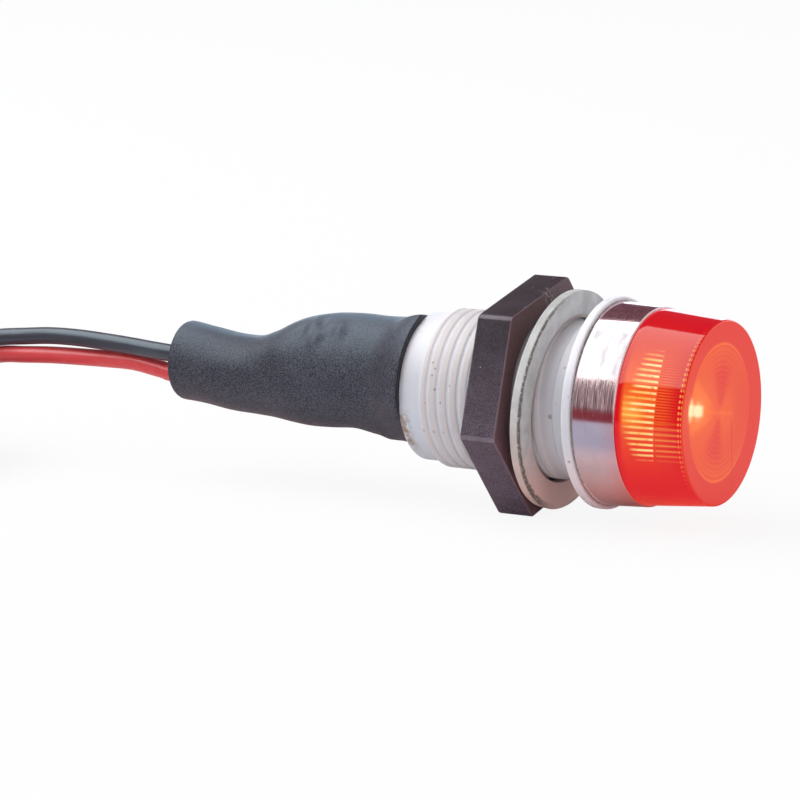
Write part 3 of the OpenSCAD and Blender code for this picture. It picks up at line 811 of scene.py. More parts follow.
def ridge(x: Array, a: Array, start: float, run: float) -> Array:
    """Right-hand thread shared by shank and nut: 0 in a root, 1 on a crest.

    With f = frac((x - phase) / pitch - a / tau) it is smooth((1 - |2f - 1| - start) / run).

    Args:
        x: Places along the axis, as a column.
        a: Angles, as a row.
        start: Share of half a pitch that is flat root.
        run: Share of half a pitch that the flank takes.

    Returns:
        Height of the ridge at each place and angle.
    """
    f = ((x - THREAD_PHASE) / THREAD_PITCH - a / math.tau) % 1.0
    return smooth((1.0 - np.abs(2.0 * f - 1.0) - start) / run)


def turned(outline: Array, sides: int, radius: Callable[[Array, Array], Array] | None = None) -> Array:
    """Surface turned about the X axis: (x, r cos a, r sin a).

    Args:
        outline: Points (x, r).
        sides: Steps round the axis.
        radius: Optional radius as a function of the outline and a row of angles, in place of r.

    Returns:
        Grid of points, outline by angle.
    """
    a = np.linspace(0.0, math.tau, sides, endpoint=False)[None]
    r = outline[:, 1:] if radius is None else radius(outline, a)
    return columns(outline[:, :1], r * np.cos(a), r * np.sin(a))


def carried(path: Array, ring: Callable[[Array, Array], Array], sides: int) -> Array:
    """Tube whose rings stand square to a path.

    Each ring is path + radius (side cos a + rise sin a), with side level and rise square to side and path.

    Args:
        path: Points along the middle.
        ring: Radius as a function of the distance along the path and the angle.
        sides: Steps round the tube.

    Returns:
        Grid of points, path by angle.
    """
    way = np.gradient(path, axis=0)
    way /= np.linalg.norm(way, axis=1, keepdims=True)
    side = np.cross(way, np.array([0.0, 0.0, 1.0]))
    side /= np.linalg.norm(side, axis=1, keepdims=True)
    rise = np.cross(side, way)
    a = np.linspace(0.0, math.tau, sides, endpoint=False)
    run = np.concatenate([[0.0], np.cumsum(np.linalg.norm(np.diff(path, axis=0), axis=1))])
    r = ring(run[:, None], a[None])[..., None]
    cos, sin = np.cos(a)[None, :, None], np.sin(a)[None, :, None]
    return path[:, None] + r * (side[:, None] * cos + rise[:, None] * sin)


def added(name: str, data: Any) -> bpy.types.Object:
    """A new object with this data, in the scene."""
    made = bpy.data.objects.new(name, data)
    bpy.context.scene.collection.objects.link(made)
    return made


def grid_piece(name: str, points: Array, finish: Finish, loop: bool = True, ends: bool = False,
               crease_deg: float = 35.0) -> bpy.types.Object:
    """Makes a mesh object from a grid of points that closes round its second direction.

    Args:
        name: Object's name.
        points: Grid (rows, columns, 3) in millimetres.
        finish: Finish to dress it in.
        loop: Whether the last row joins the first.
        ends: Whether the first and last rows are closed by a fan to their middle.
        crease_deg: Edges sharper than this stay sharp in shading.

    Returns:
        The object, in the scene.
    """
    rows, cols = points.shape[:2]
    i = np.arange(rows if loop else rows - 1)[:, None]
    k = np.arange(cols)
    k2 = (k + 1) % cols
    near, far = i * cols, (i + 1) % rows * cols
    faces = np.stack([near + k, near + k2, far + k2, far + k], -1).reshape(-1, 4).tolist()
    verts = points.reshape(-1, 3)
    if ends:
        centre, final = len(verts), (rows - 1) * cols
        faces += np.stack([np.full(cols, centre), k2, k], -1).tolist()
        faces += np.stack([np.full(cols, centre + 1), final + k, final + k2], -1).tolist()
        verts = np.concatenate([verts, [points[0].mean(0), points[-1].mean(0)]])
    mesh = bpy.data.meshes.new(name)
    mesh.from_pydata((verts * MM).tolist(), [], faces)
    work = bmesh.new()
    work.from_mesh(mesh)
    bmesh.ops.remove_doubles(work, verts=work.verts, dist=1e-7)
    bmesh.ops.recalc_face_normals(work, faces=work.faces)
    work.to_mesh(mesh)
    work.free()
    mesh.polygons.foreach_set("use_smooth", np.ones(len(mesh.polygons), bool))
    mesh.set_sharp_from_angle(angle=math.radians(crease_deg))
    mesh.materials.append(finish.material())
    return added(name, mesh)


def settle(piece: bpy.types.Object, body: Body, slot: str, *nodes: str) -> bpy.types.Object:
    """Puts a piece on its body in place of CAD nodes, and reports it.

    Args:
        piece: The object.
        body: Body that carries it.
        slot: Not used.
        nodes: CAD nodes that it stands for.

    Returns:
        The same object.
    """
    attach(piece, body.value)
    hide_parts(*nodes)
    faces = len(piece.data.polygons)
    LOG.info("%s: %d faces on %s for %s", piece.name, faces, body.value, ", ".join(nodes))
    return piece


@dataclass
class Lens:
    """The fluted lens cap."""

    front_x: float = 10.70
    base_x: float = 4.69
    skirt_x: float = 1.08
    base_r: float = 8.45
    front_r: float = 7.94
    skirt_out_r: float = 7.9
    skirt_in_r: float = 7.15
    edge_r: float = 0.16
    flute_x: float = 5.59
    inner_front_x: float = 9.95
    flute_depth: float = 0.3
    flute_rows: int = 8

    def outline(self) -> Array:
        """Outline from the middle of the front, round the outside and the skirt, to the cavity's middle."""
        turn = np.linspace(0.0, math.pi / 2, 8)
        slope = (self.base_r - self.front_r) / (self.front_x - self.base_x)
        face = columns(self.front_x, np.linspace(0.0, self.front_r - self.edge_r - 0.1, 14))
        edge = columns(self.front_x - self.edge_r * (1 - np.cos(turn)),
                       self.front_r + slope * self.edge_r - self.edge_r * (1 - np.sin(turn)))
        side_x = np.linspace(self.front_x - self.edge_r - 0.05, self.base_x + 0.08, 12)
        side = columns(side_x, self.front_r + slope * (self.front_x - side_x))
        foot = np.array([(self.base_x + 0.02, self.base_r - 0.03), (self.base_x, self.base_r - 0.1),
                         (self.base_x, self.skirt_out_r), (self.skirt_x, self.skirt_out_r),
                         (self.skirt_x, self.skirt_in_r), (self.flute_x - 0.02, self.skirt_in_r)])
        inner_x = np.linspace(self.flute_x, self.inner_front_x, self.flute_rows)
        inner = columns(inner_x, self.skirt_in_r - 0.03)
        back = columns(self.inner_front_x, np.linspace(self.skirt_in_r - 0.4, 0.0, self.flute_rows))
        return np.concatenate([face, edge, side, foot, inner, back])

    def build(self) -> bpy.types.Object:
        """Turns the outline; inside, r falls by the flute depth times a triangle wave of the angle."""
        def radius(outline: Array, a: Array) -> Array:
            """r minus flute_depth (1 - |2 frac - 1|) where the outline runs along the flutes."""
            inside = np.zeros((len(outline), 1))
            inside[-2 * self.flute_rows:-self.flute_rows] = 1.0
            wave = 1.0 - np.abs(2.0 * ((a * FLUTES / math.tau) % 1.0) - 1.0)
            return outline[:, 1:] - inside * self.flute_depth * wave
        grid = turned(self.outline(), 4 * FLUTES, radius)
        piece = grid_piece("lens_shell", grid, LensFinish("red_lens"), loop=False, crease_deg=40)
        return settle(piece, Body.LAMP, "lens_red", "lens_cap")


@dataclass
class Bezel:
    """The chrome ring at the lens's foot."""

    rear_x: float = 0.78
    front_x: float = 4.69
    in_r: float = 7.95
    rear_r: float = 8.82
    front_r: float = 8.59
    rounding: float = 0.10

    def build(self) -> bpy.types.Object:
        """Turns a tapered ring with small rounded edges."""
        corners = [(self.rear_x, self.in_r), (self.rear_x, self.rear_r), (self.front_x, self.front_r),
                   (self.front_x, self.in_r)]
        grid = turned(rounded(corners, self.rounding), 256)
        piece = grid_piece("bezel_plate", grid, ChromeFinish("turned_chrome"))
        return settle(piece, Body.LAMP, "bezel_chrome", "bezel_ring")


@dataclass
class Shank:
    """The white housing with its flange and right-hand thread."""

    thread_r: float = 7.0
    root_r: float = 6.77
    relief_r: float = 6.8
    thread_from: float = -15.1
    thread_to: float = -3.1
    thread_gap: float = 0.02
    relief_x: float = -1.9
    flange_r: float = 9.17
    flange_t: float = 0.78
    collar_r: float = 7.1
    collar_x: float = 4.08
    tail_r: float = 6.55
    shoulder_x: float = -17.2
    end_x: float = -20.0
    bore_r: float = 3.95
    holder_r: float = 5.25
    holder_x: float = -5.0
    marks: tuple[Mark, ...] = (
        (-17.1, -6.26, -1.9, 0.35), (-16.9, -5.8, -3.0, 0.4), (-16.8, -5.2, -4.0, 0.3),
        (-14.7, -6.3, -2.75, 0.24), (-13.7, -6.3, -2.75, 0.24), (-12.8, -6.3, -2.76, 0.22),
        (-2.2, -6.8, -0.4, 0.30), (-1.3, -5.9, 3.75, 0.14), (0.44, -8.36, -3.77, 0.2))
    dots: tuple[Mark, ...] = (
        (-11.31, -4.13, 5.62, 0.20), (-13.9, -6.19, 3.21, 0.15), (-13.55, -6.41, 2.73, 0.15),
        (-13.74, -6.63, 2.16, 0.15), (-13.35, -6.9, 1.01, 0.16), (-13.01, -6.88, 1.1, 0.14),
        (-11.96, -6.82, 1.42, 0.15), (-12.73, -6.97, -0.1, 0.14))

    def build(self) -> bpy.types.Object:
        """Turns the outline; along the thread r = root + depth * ridge(x, a)."""
        thread = columns(np.linspace(self.thread_from, self.thread_to - self.thread_gap, 240), self.root_r)
        rear = rounded([(self.end_x, self.bore_r), (self.end_x, SPIGOT_R), (self.shoulder_x, SPIGOT_R),
                        (self.shoulder_x, self.tail_r), (self.thread_from - self.thread_gap, self.tail_r)],
                       0.15, closed=False)
        fore = rounded([(self.thread_to, self.relief_r), (self.relief_x - 0.1, self.relief_r),
                        (self.relief_x, self.thread_r), (0.0, self.thread_r), (0.0, self.flange_r),
                        (self.flange_t, self.flange_r), (self.flange_t, self.collar_r),
                        (self.collar_x, self.collar_r), (self.collar_x, self.holder_r),
                        (self.holder_x, self.holder_r), (self.holder_x, self.bore_r)], 0.14, closed=False)
        outline = np.concatenate([rear, thread, fore])
        on = np.zeros((len(outline), 1))
        on[len(rear):len(rear) + len(thread)] = 1.0

        def radius(line: Array, a: Array) -> Array:
            """Adds the helical ridge, which fades at both ends, where the root meets its neighbours."""
            x = line[:, :1]
            fade = smooth((x - self.thread_from) / 0.5) * smooth((self.thread_to - x) / 0.5)
            share = ridge(x, a, 0.04, 0.42) * fade
            at_tail = smooth((self.thread_from + 0.25 - x) / 0.25) * (self.tail_r - self.root_r)
            at_relief = smooth((x - self.thread_to + 0.3) / 0.3) * (self.relief_r - self.root_r)
            grow = (self.thread_r - self.root_r) * share + (at_tail + at_relief) * (1.0 - share)
            return line[:, 1:] + on * grow
        finish = NylonFinish("white_nylon", marks=self.marks, dots=self.dots)
        piece = grid_piece("threaded_shank", turned(outline, 256, radius), finish, crease_deg=50)
        return settle(piece, Body.LAMP, "housing_white", "housing")


@dataclass
class Washer:
    """The loose die-cut washer, leaning with its top forward."""

    front_x: float = -3.73
    thickness: float = 0.85
    outer_r: float = 9.6
    bore_r: float = 7.2
    lean_deg: float = 4.2
    drop: float = 0.1
    ragged: float = 0.03
    seed: int = 7

    def build(self) -> bpy.types.Object:
        """Turns a flat ring with a slightly ragged rim, then leans it about the Y axis."""
        half = self.thickness / 2
        outline = rounded([(-half, self.bore_r), (-half, self.outer_r - 0.03), (half, self.outer_r),
                           (half, self.bore_r)], 0.07)
        waves = np.arange(9, 21)[:, None, None]
        phase = np.random.default_rng(self.seed).uniform(0.0, math.tau, len(waves))[:, None, None]

        def radius(line: Array, a: Array) -> Array:
            """Rim radius less a small mean of sines with 9 to 20 waves round the rim."""
            rough = np.sin(waves * a[None] + phase).mean(0)
            on_rim = smooth((line[:, 1:] - self.outer_r + 0.3) / 0.2)
            return line[:, 1:] - on_rim * self.ragged * (0.5 + rough)
        x, y, z = np.moveaxis(turned(outline, 220, radius), -1, 0)
        tip = math.radians(self.lean_deg)
        centre = (self.front_x - half, 0.0, -self.drop)
        placed = np.stack([x * math.cos(tip) + z * math.sin(tip) + centre[0], y,
                           z * math.cos(tip) - x * math.sin(tip) + centre[2]], -1)
        finish = FibreFinish("grey_fibre", centre=centre, lean_deg=self.lean_deg, rim_r=self.outer_r,
                             half_t=half)
        piece = grid_piece("washer_sheet", placed, finish)
        return settle(piece, Body.WASHER, "washer_grey", "panel_washer")


@dataclass
class Nut:
    """The moulded hexagon nut."""

    front_x: float = -5.67
    thickness: float = 3.36
    across_flats: float = 18.38
    corner_r: float = 10.52
    bore_r: float = 7.08
    chamfer: float = 0.4
    turn_deg: float = 12.2
    blunting: float = 2.2
    groove: float = 0.3
    bore_rows: int = 40

    def build(self) -> bpy.types.Object:
        """Carries an outline round the hexagon r = apothem / cos d, d the angle from a flat's middle."""
        back_x = self.front_x - self.thickness
        apothem = self.across_flats / 2
        wide = self.bore_r + self.chamfer
        land = wide + 0.3
        flats = rounded([(back_x, land), (back_x, apothem), (self.front_x, apothem), (self.front_x, land)],
                        0.16, closed=False)
        mouth = np.array([(self.front_x, wide), (self.front_x - self.chamfer, self.bore_r)])
        foot = np.array([(back_x + self.chamfer, self.bore_r), (back_x, wide)])
        hole_x = np.linspace(mouth[1, 0] - 0.05, foot[0, 0] + 0.05, self.bore_rows)
        outline = np.concatenate([flats, mouth, columns(hole_x, self.bore_r), foot])
        rows = np.arange(len(outline))[:, None] - len(flats)
        in_bore = (rows >= len(mouth)) & (rows < len(mouth) + self.bore_rows)

        def radius(line: Array, a: Array) -> Array:
            """Scales the outer rows to the hexagon and cuts a helical groove in the bore."""
            d = (a - math.radians(self.turn_deg)) % (math.pi / 3) - math.pi / 6
            blunt = self.corner_r - self.blunting * (np.abs(d) - 0.5).clip(0.0) ** 2
            hexagon = np.minimum(apothem / np.cos(d), blunt)
            r = line[:, 1:]
            share = np.clip((r - land) / (apothem - land), 0.0, 1.0)
            inner = r + np.where(in_bore, self.groove * ridge(line[:, :1], a, 0.3, 0.5), 0.0)
            return np.where(rows < 0, r + share * (hexagon - apothem), inner)
        finish = NutFinish("black_nylon", apothem=apothem, front_x=self.front_x, back_x=back_x)
        piece = grid_piece("nut_moulding", turned(outline, 360, radius), finish, crease_deg=30)
        return settle(piece, Body.NUT, "nut_black", "hex_nut")


@dataclass
class Sleeve:
    """The heat-shrunk sleeve over the shank's spigot, the wiring and the leads' start.

    Each row of outline is a share of the length, the height above, the height below and the half width.
    Each dent is a place along the axis, an angle in degrees, a height, and its reach along the axis and in
    degrees.
    """

    front_x: float = -17.35
    wall: float = 0.55
    clear: float = 0.15
    hug_to_x: float = -20.9
    hug_slope: float = 0.3
    rear_round: float = 0.4
    front_round: float = 0.08
    lip_deg: float = 141.0
    lip_low: float = 0.62
    lip_x: float = 0.27
    lip_r: float = 7.12
    lip_gain: float = 1.9
    lip_power: float = 5.0
    lip_reach: float = 14.0
    flare_reach: float = 5.8
    flare_power: float = 1.4
    outline: Array = field(default_factory=lambda: np.array([
        [0.00, 5.95, 5.30, 5.45], [0.08, 5.84, 5.16, 5.30], [0.19, 5.76, 4.82, 5.08],
        [0.28, 5.82, 4.46, 5.00], [0.38, 5.68, 4.60, 5.00], [0.46, 5.32, 4.65, 4.90],
        [0.53, 4.75, 4.50, 4.70], [0.61, 3.73, 4.24, 4.45], [0.69, 3.00, 4.12, 4.25],
        [0.79, 2.98, 4.00, 4.05], [0.90, 3.40, 3.62, 3.80], [1.00, 3.78, 3.45, 3.65]]))
    dents: tuple[tuple[float, float, float, float, float], ...] = (
        (-24.2, 132.0, -0.19, 0.6, 9.0), (-25.3, 122.0, 0.18, 0.5, 9.0), (-26.2, 134.0, -0.21, 0.6, 10.0),
        (-27.2, 118.0, -0.23, 0.5, 9.0), (-27.4, 138.0, 0.18, 0.5, 9.0), (-28.3, 113.0, 0.19, 0.5, 10.0),
        (-29.2, 126.0, -0.24, 0.6, 10.0), (-33.0, 165.0, -0.16, 1.6, 18.0), (-31.0, 150.0, 0.12, 1.0, 12.0),
        (-23.4, 215.0, -0.10, 1.4, 20.0), (-29.0, 220.0, 0.10, 2.2, 16.0), (-36.0, 200.0, -0.10, 2.0, 20.0),
        (-28.0, 40.0, -0.14, 1.5, 18.0), (-33.5, 330.0, 0.12, 1.8, 20.0), (-25.0, 300.0, -0.12, 1.5, 20.0))

    def size(self, share: Array, x: Array) -> Array:
        """Height above, height below and half width of the sleeve.

        Args:
            share: Places along the sleeve, 0 at the front and 1 at the rear.
            x: The same places along the axis.

        Returns:
            Three values per place: the spline, but never less than the spigot inside with its clearance.
        """
        free = spline(self.outline[:, 0], self.outline[:, 1:], share)
        behind = np.maximum(0.0, self.hug_to_x - x)[..., None]
        return np.maximum(free, SPIGOT_R + self.clear + self.wall - self.hug_slope * behind)

    def rows(self, share: Array, inset: Array, a: Array) -> Array:
        """Rings of the sleeve.

        A ring's point is (x, (w - off) cos a, (h - off) sin a). The inset and round bell-shaped dents make up
        off. On the near side the front edge is turned out over the tail's rim, fully near the top and fading
        slowly below.

        Args:
            share: Place of each ring along the sleeve, 0 at the front.
            inset: Depth of each ring under the outside.
            a: Angles.

        Returns:
            Grid of points.
        """
        level = self.front_x + (SLEEVE_REAR_X - self.front_x) * share
        turn = a - math.radians(self.lip_deg)
        turn = np.where(turn > 0.0, turn * self.lip_low, turn)
        lip = np.clip(self.lip_gain * np.cos(turn).clip(0.0) ** self.lip_power, 0.0, 1.0)[None]
        x = level[:, None] + self.lip_x * lip ** 2 * smooth(1.0 - share * self.lip_reach)[:, None]
        above, below, wide = np.moveaxis(self.size(share, level)[:, None], -1, 0)
        high = np.where(np.sin(a)[None] > 0, above, below)
        off = inset[:, None] + np.zeros_like(x)
        for at, turn_deg, height, long, broad in self.dents:
            d = (np.degrees(a)[None] - turn_deg + 180.0) % 360.0 - 180.0
            off = off - height * np.exp(-((x - at) / long) ** 2 - (d / broad) ** 2)
        out = np.hypot(wide * np.cos(a), high * np.sin(a))
        flare = smooth(1.0 - share * self.flare_reach)[:, None] ** self.flare_power
        off = off - (self.lip_r - out) * lip * flare
        return np.stack([x, (wide - off) * np.cos(a), (high - off) * np.sin(a)], -1)

    def build(self) -> bpy.types.Object:
        """Joins outside, rounded rear lip, inside and front edge into one closed skin."""
        a = np.linspace(0.0, math.tau, 160, endpoint=False)
        length = self.front_x - SLEEVE_REAR_X
        share = np.linspace(0.0, 1.0, 170) ** 1.15
        past = np.clip((self.rear_round - (1 - share) * length) / self.rear_round, 0.0, 1.0)
        start = np.clip(1.0 - share * length / 0.15, 0.0, 1.0)
        edge = self.rear_round * (1 - np.sqrt(1 - past ** 2)) + self.front_round * start ** 2
        back = np.linspace(1.0, 0.0, 90)
        inner = self.rows(back, np.full_like(back, self.wall), a)
        skin = np.concatenate([self.rows(share, edge, a), inner])
        piece = grid_piece("shrunk_sleeve", skin, ShrinkFinish("shrink_tube"), crease_deg=50)
        return settle(piece, Body.LAMP, "sleeve_black", "heat_shrink_sleeve")


@dataclass
class Lead:
    """One insulated lead: out of the sleeve, into the coil and along to its bare tip.

    The points of route and end_route are measured from the sleeve's rear end.
    """

    name: str
    start: tuple[float, float]
    straight: float
    route: Array
    coil_top: float
    end_route: Array
    finish: InsulationFinish
    slot: str
    coil_x: float = -71.5
    coil_r: float = 12.0
    turns: float = 2.0
    pitch: float = 3.35
    outer_d: float = 1.6
    core_d: float = 0.7
    strip: float = 5.0
    lay: float = 4.2

    def points(self) -> Array:
        """Route points: straight inside the sleeve, listed points to the coil, helix, listed points to the
        end.

        Returns:
            Points in millimetres. The helix is (X - R sin t, R (cos t - 1), top - pitch t / tau).
        """
        x, z = self.start
        shift = np.array([SLEEVE_REAR_X, 0.0, 0.0])
        inside = np.array([(x, 0.0, z), (x - self.straight, 0.0, z)])
        t = np.radians(np.arange(0.0, 360.0 * self.turns + 1, 15.0))
        coil = columns(self.coil_x - self.coil_r * np.sin(t), self.coil_r * (np.cos(t) - 1),
                       self.coil_top - self.pitch * t / math.tau)
        return np.concatenate([inside, self.route + shift, coil, self.end_route + shift])

    def build(self) -> tuple[bpy.types.Object, bpy.types.Object, Array]:
        """Carries a circle along the smoothed route, and twisted strands along the tip.

        Returns:
            The insulation, the bare tip and the smoothed middle line in millimetres.
        """
        p = self.points()
        knots = np.arange(len(p), dtype=float)
        middle = spline(knots, p, np.linspace(0.0, len(p) - 1.0, 4 * len(p) - 3))
        tube = carried(middle, lambda s, a: np.full((len(s), a.shape[1]), self.outer_d / 2), 20)
        piece = grid_piece(f"{self.name}_insulation", tube, self.finish, loop=False, ends=True)
        settle(piece, Body.LAMP, self.slot, self.name)
        x, y, z = p[-1]
        line = columns(x + np.linspace(0.0, -self.strip, 60), y, z)

        def strands(s: Array, a: Array) -> Array:
            """Radius r0 (0.88 + 0.12 |cos 3.5(a - tau s / lay)|), closing at the end."""
            lobes = np.abs(np.cos(3.5 * (a - math.tau * s / self.lay)))
            close = np.sqrt(np.clip((self.strip + 0.02 - s) / 0.3, 0.0, 1.0))
            return self.core_d / 2 * (0.88 + 0.12 * lobes) * (0.35 + 0.65 * close)
        tip = grid_piece(f"{self.name}_strands", carried(line, strands, 42), MetalFinish("tinned_copper"),
                         loop=False, ends=True)
        settle(tip, Body.LAMP, "tinned_wire", f"{self.name}_tip")
        return piece, tip, middle


@dataclass
class Tie:
    """The band round the coil."""

    middle: Point = (-83.5, -12.0, -4.27)
    half_x: float = 1.15
    half_z: float = 3.66
    width: float = 2.0
    thickness: float = 0.5
    rounding: float = 0.15
    colour: Colour = (0.78, 0.78, 0.76)

    def build(self) -> bpy.types.Object:
        """Carries a thin rounded strip round a rounded rectangle |x/a|^8 + |z/b|^8 = 1 in the XZ plane."""
        u = np.linspace(0.0, math.tau, 96, endpoint=False)[:, None]
        c, s = np.cos(u), np.sin(u)
        scale = (np.abs(c) ** 8 + np.abs(s) ** 8) ** (-1.0 / 8)
        c, s = c * scale, s * scale
        w, t = self.width / 2, self.thickness / 2
        across, depth = rounded([(-w, -t), (w, -t), (w, t), (-w, t)], self.rounding).T
        grid = columns(c * self.half_x + np.clip(c, -1, 1) * depth, across[None],
                       s * self.half_z + np.clip(s, -1, 1) * depth) + np.array(self.middle)
        finish = LacquerFinish("band_plastic", colour=self.colour, roughness=0.45)
        piece = grid_piece("coil_band", grid, finish)
        return settle(piece, Body.LAMP, "tie_white", "lead_tie")


@dataclass
class InnerParts:
    """Pieces inside the lamp that keep their CAD shape and get a finish."""

    resistor_front: float = -20.8
    code: tuple[tuple[float, Colour], ...] = (
        (0.9, (0.35, 0.12, 0.02)), (2.1, (0.02, 0.02, 0.02)), (3.2, (0.45, 0.03, 0.02)),
        (5.2, (0.55, 0.38, 0.08)))
    tinned: tuple[str, ...] = (
        "led_cathode_leg", "led_anode_leg", "resistor_front_wire", "resistor_rear_wire", "black_conductor",
        "red_conductor")
    soldered: tuple[str, ...] = ("cathode_joint", "black_joint", "red_joint")

    def dress(self) -> None:
        """Gives every kept node its material."""
        solder = MetalFinish("solder", colour=(0.66, 0.66, 0.68), roughness=0.2)
        rings = tuple((self.resistor_front - at, tint) for at, tint in self.code)
        plan: dict[str, Finish] = {
            "led_body": LacquerFinish("diode_epoxy", colour=(0.75, 0.10, 0.05), roughness=0.12),
            "led_holder": NylonFinish("white_nylon_inner"),
            "resistor_body": LacquerFinish("resistor_coat", rings=rings),
            "red_joint_sleeve": ShrinkFinish("shrink_tube"),
            **dict.fromkeys(self.soldered, solder),
            **dict.fromkeys(self.tinned, MetalFinish("tinned_copper"))}
        for name, finish in plan.items():
            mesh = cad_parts[name].data
            mesh.materials.clear()
            mesh.materials.append(finish.material())
            LOG.info("%s: kept, dressed in %s", name, finish.name)


@dataclass
class Studio:
    """Floor, light and camera."""

    azimuth: float = 29.70
    elevation: float = 10.10
    distance: float = 341.67
    shift_right: float = -17.99
    shift_up: float = 0.197
    focal_px: float = 3978.0
    image_px: float = 800.0
    floor_z: float = -10.13
    floor_half: float = 6000.0
    card_half: float = 2500.0
    card_y: float = 1500.0
    card_low: float = -10.0
    card_high: float = 400.0
    card_power: float = 2.6
    card_blue: Colour = (0.78, 0.90, 1.0)
    white: Colour = (1.0, 1.0, 1.0)
    warm: Colour = (1.0, 0.76, 0.70)
    floor_matte: Colour = (0.82, 0.82, 0.84)
    mirrored_far: Colour = (0.74, 0.54, 0.53)
    mirrored_near: Colour = (0.44, 0.41, 0.50)
    mirrored_end: Colour = (0.20, 0.030, 0.040)
    sky_fill: Colour = (0.50, 0.50, 0.53)
    sky_mirrored: Colour = (0.14, 0.065, 0.08)

    def stand(self, made: bpy.types.Object, right: Array, up: Array, back: Array, at: Array) -> None:
        """Turns an object to three axes and puts it at a place in millimetres."""
        turn = np.eye(4)
        turn[:3] = np.stack([right, up, back, at * MM], -1)
        made.matrix_world = Matrix(turn.tolist())

    def camera(self) -> None:
        """Stands the camera at back, right and up distances from the lamp's origin, looking along -back."""
        az, el = math.radians(self.azimuth), math.radians(self.elevation)
        back = np.array([math.sin(az) * math.cos(el), -math.cos(az) * math.cos(el), math.sin(el)])
        right = np.array([math.cos(az), math.sin(az), 0.0])
        up = np.cross(back, right)
        data = bpy.data.cameras.new("camera")
        data.sensor_width = 36.0
        data.lens = self.focal_px / self.image_px * data.sensor_width
        data.clip_start, data.clip_end = 0.01, 50.0
        made = added("camera", data)
        at = back * self.distance + right * self.shift_right + up * self.shift_up
        self.stand(made, right, up, back, at)
        bpy.context.scene.camera = made

    def lamp(self, name: str, at: Point, aim: Point, size: tuple[float, float], power: float,
             colour: Colour) -> None:
        """Adds one rectangular soft light.

        Args:
            name: Light's name.
            at: Its place in millimetres.
            aim: The point that it faces.
            size: Width and height in millimetres.
            power: Power in watts.
            colour: Colour of the light.
        """
        data = bpy.data.lights.new(name, "AREA")
        data.shape = "RECTANGLE"
        data.size, data.size_y = size[0] * MM, size[1] * MM
        data.energy, data.color = power, colour
        back = np.subtract(at, aim)
        back /= np.linalg.norm(back)
        right = np.cross([0.0, 1.0, 0.0], back)
        right /= np.linalg.norm(right)
        self.stand(added(name, data), right, np.cross(back, right), back, np.array(at))

    def card(self, name: str, paint: str, corners: Sequence[Point]) -> tuple[bpy.types.Object, Graph]:
        """Adds a flat card to the stage.

        Args:
            name: Object's name.
            paint: Name of its material.
            corners: Its four corners in millimetres.

        Returns:
            The card, and the empty graph of its material.
        """
        mesh = bpy.data.meshes.new(name)
        mesh.from_pydata((np.array(corners) * MM).tolist(), [], [(0, 1, 2, 3)])
        material = bpy.data.materials.new(paint)
        material.use_nodes = True
        mesh.materials.append(material)
        made = added(name, mesh)
        return made, Graph(material.node_tree)

    def floor(self) -> None:
        """Lays a floor that is white to the camera, with a faint shadow, and banded to reflections."""
        h, z = self.floor_half, self.floor_z
        _, graph = self.card("floor", "pale_floor", [(-h, -h, z), (h, -h, z), (h, h, z), (-h, h, z)])
        seen, shiny = graph.rays()
        y = graph.place()[1]
        mirrored = graph.layers(
            self.mirrored_far,
            (self.mirrored_near, y.rise(-10.0, -20.0)),
            (self.mirrored_end, y.rise(-55.5, -58.5)))
        tint = graph.mix(self.floor_matte, mirrored, shiny)
        matte = graph.node("ShaderNodeBsdfDiffuse", None, {"Color": tint})
        white = graph.node("ShaderNodeEmission", None, {"Color": self.white, "Strength": 1.0})
        both = graph.node("ShaderNodeMixShader", None, {0: seen * 0.9, 1: matte, 2: white})
        graph.node("ShaderNodeOutputMaterial", None, {0: both})

    def backdrop(self) -> None:
        """Stands a pale blue card far behind the lamp, for a cool edge on the tops of dark pieces."""
        h, y, low, high = self.card_half, self.card_y, self.card_low, self.card_high
        made, graph = self.card("backdrop", "backdrop_card",
                                [(-h, y, low), (h, y, low), (h, y, high), (-h, y, high)])
        made.visible_camera = False
        glow = graph.node("ShaderNodeEmission", None, {"Color": self.card_blue, "Strength": self.card_power})
        graph.node("ShaderNodeOutputMaterial", None, {0: glow})

    def sky(self) -> None:
        """White to the camera, dim to reflections, soft grey as fill light."""
        world = bpy.data.worlds.new("studio")
        bpy.context.scene.world = world
        world.use_nodes = True
        graph = Graph(world.node_tree)
        seen, shiny = graph.rays()
        colour = graph.layers(self.sky_fill, (self.sky_mirrored, shiny), (self.white, seen))
        back = graph.node("ShaderNodeBackground", None, {"Color": colour, "Strength": 1.0})
        graph.node("ShaderNodeOutputWorld", None, {0: back})

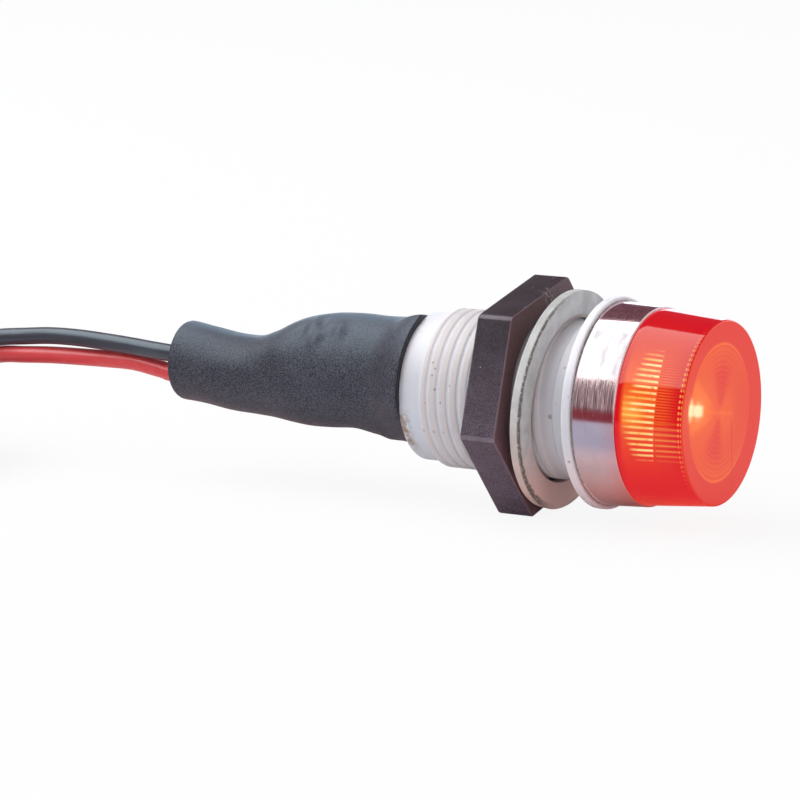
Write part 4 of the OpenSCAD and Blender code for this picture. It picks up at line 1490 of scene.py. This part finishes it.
    def light(self) -> None:
        """Hangs a large softbox above and behind on the near side, and a small warm light in front."""
        above = (-480.0, -286.0)
        self.lamp("softbox", (*above, 600.0), (*above, 0.0), (700.0, 1116.0), 7.2, self.white)
        self.lamp("warm_side", (330.0, -300.0, 110.0), (0.0, 0.0, 0.0), (300.0, 300.0), 0.24,
                  self.warm)


def leads() -> tuple[Lead, Lead]:
    """The black and the red lead with their given routes."""
    black = Lead(
        "black_lead", (-33.6, 1.1), 2.0,
        np.array([[0, -0.1, 0.64], [-3, -0.3, 0.76], [-6, -0.35, 1], [-9, -0.3, 1.16], [-12, -0.2, 1.25],
                  [-15, -0.1, 1.18], [-18, 0, 0.88], [-21, -0.2, 0.54], [-24.5, -0.1, -0.35]], float),
        -0.92, np.array([[-31, 0.6, -7.7], [-33.5, 1.3, -8], [-36, 1.8, -8.8], [-38.5, 1.9, -9.3]], float),
        InsulationFinish("black_insulation", colour=(0.050, 0.058, 0.072), worn=(0.075, 0.085, 0.10)),
        "insulation_black")
    red = Lead(
        "red_lead", (-23.3, -1.27), 4.0,
        np.array([[0, 0.1, -1.3], [-3, 0.35, -1.05], [-6, 0.4, -0.61], [-9, 0.35, -0.58], [-12, 0.2, -0.6],
                  [-15, 0.1, -0.67], [-18, 0, -0.85], [-21, 0.2, -1.12], [-24.5, 0.1, -2.05]], float),
        -2.595, np.array([[-31, 0, -9.3], [-38.5, 0, -9.3]], float),
        InsulationFinish("red_insulation", colour=(0.76, 0.066, 0.070), worn=(0.82, 0.12, 0.12),
                         shine=(1.0, 0.90, 0.92)),
        "insulation_red")
    return black, red


def main() -> None:
    logging.basicConfig(level=logging.INFO, format="%(message)s")
    bpy.context.scene.view_settings.view_transform = "Standard"
    studio = Studio()
    studio.camera()
    black, red = leads()
    made = [(lead, *lead.build()) for lead in (black, red)]
    tie = Tie().build()
    for lead, piece, tip, middle in made:
        (middle * MM).tolist()
    for part in (Lens(), Bezel(), Shank(), Washer(), Nut(), Sleeve()):
        part.build()
    InnerParts().dress()
    studio.floor()
    studio.backdrop()
    studio.light()
    studio.sky()


if __name__ == "__main__":
    main()
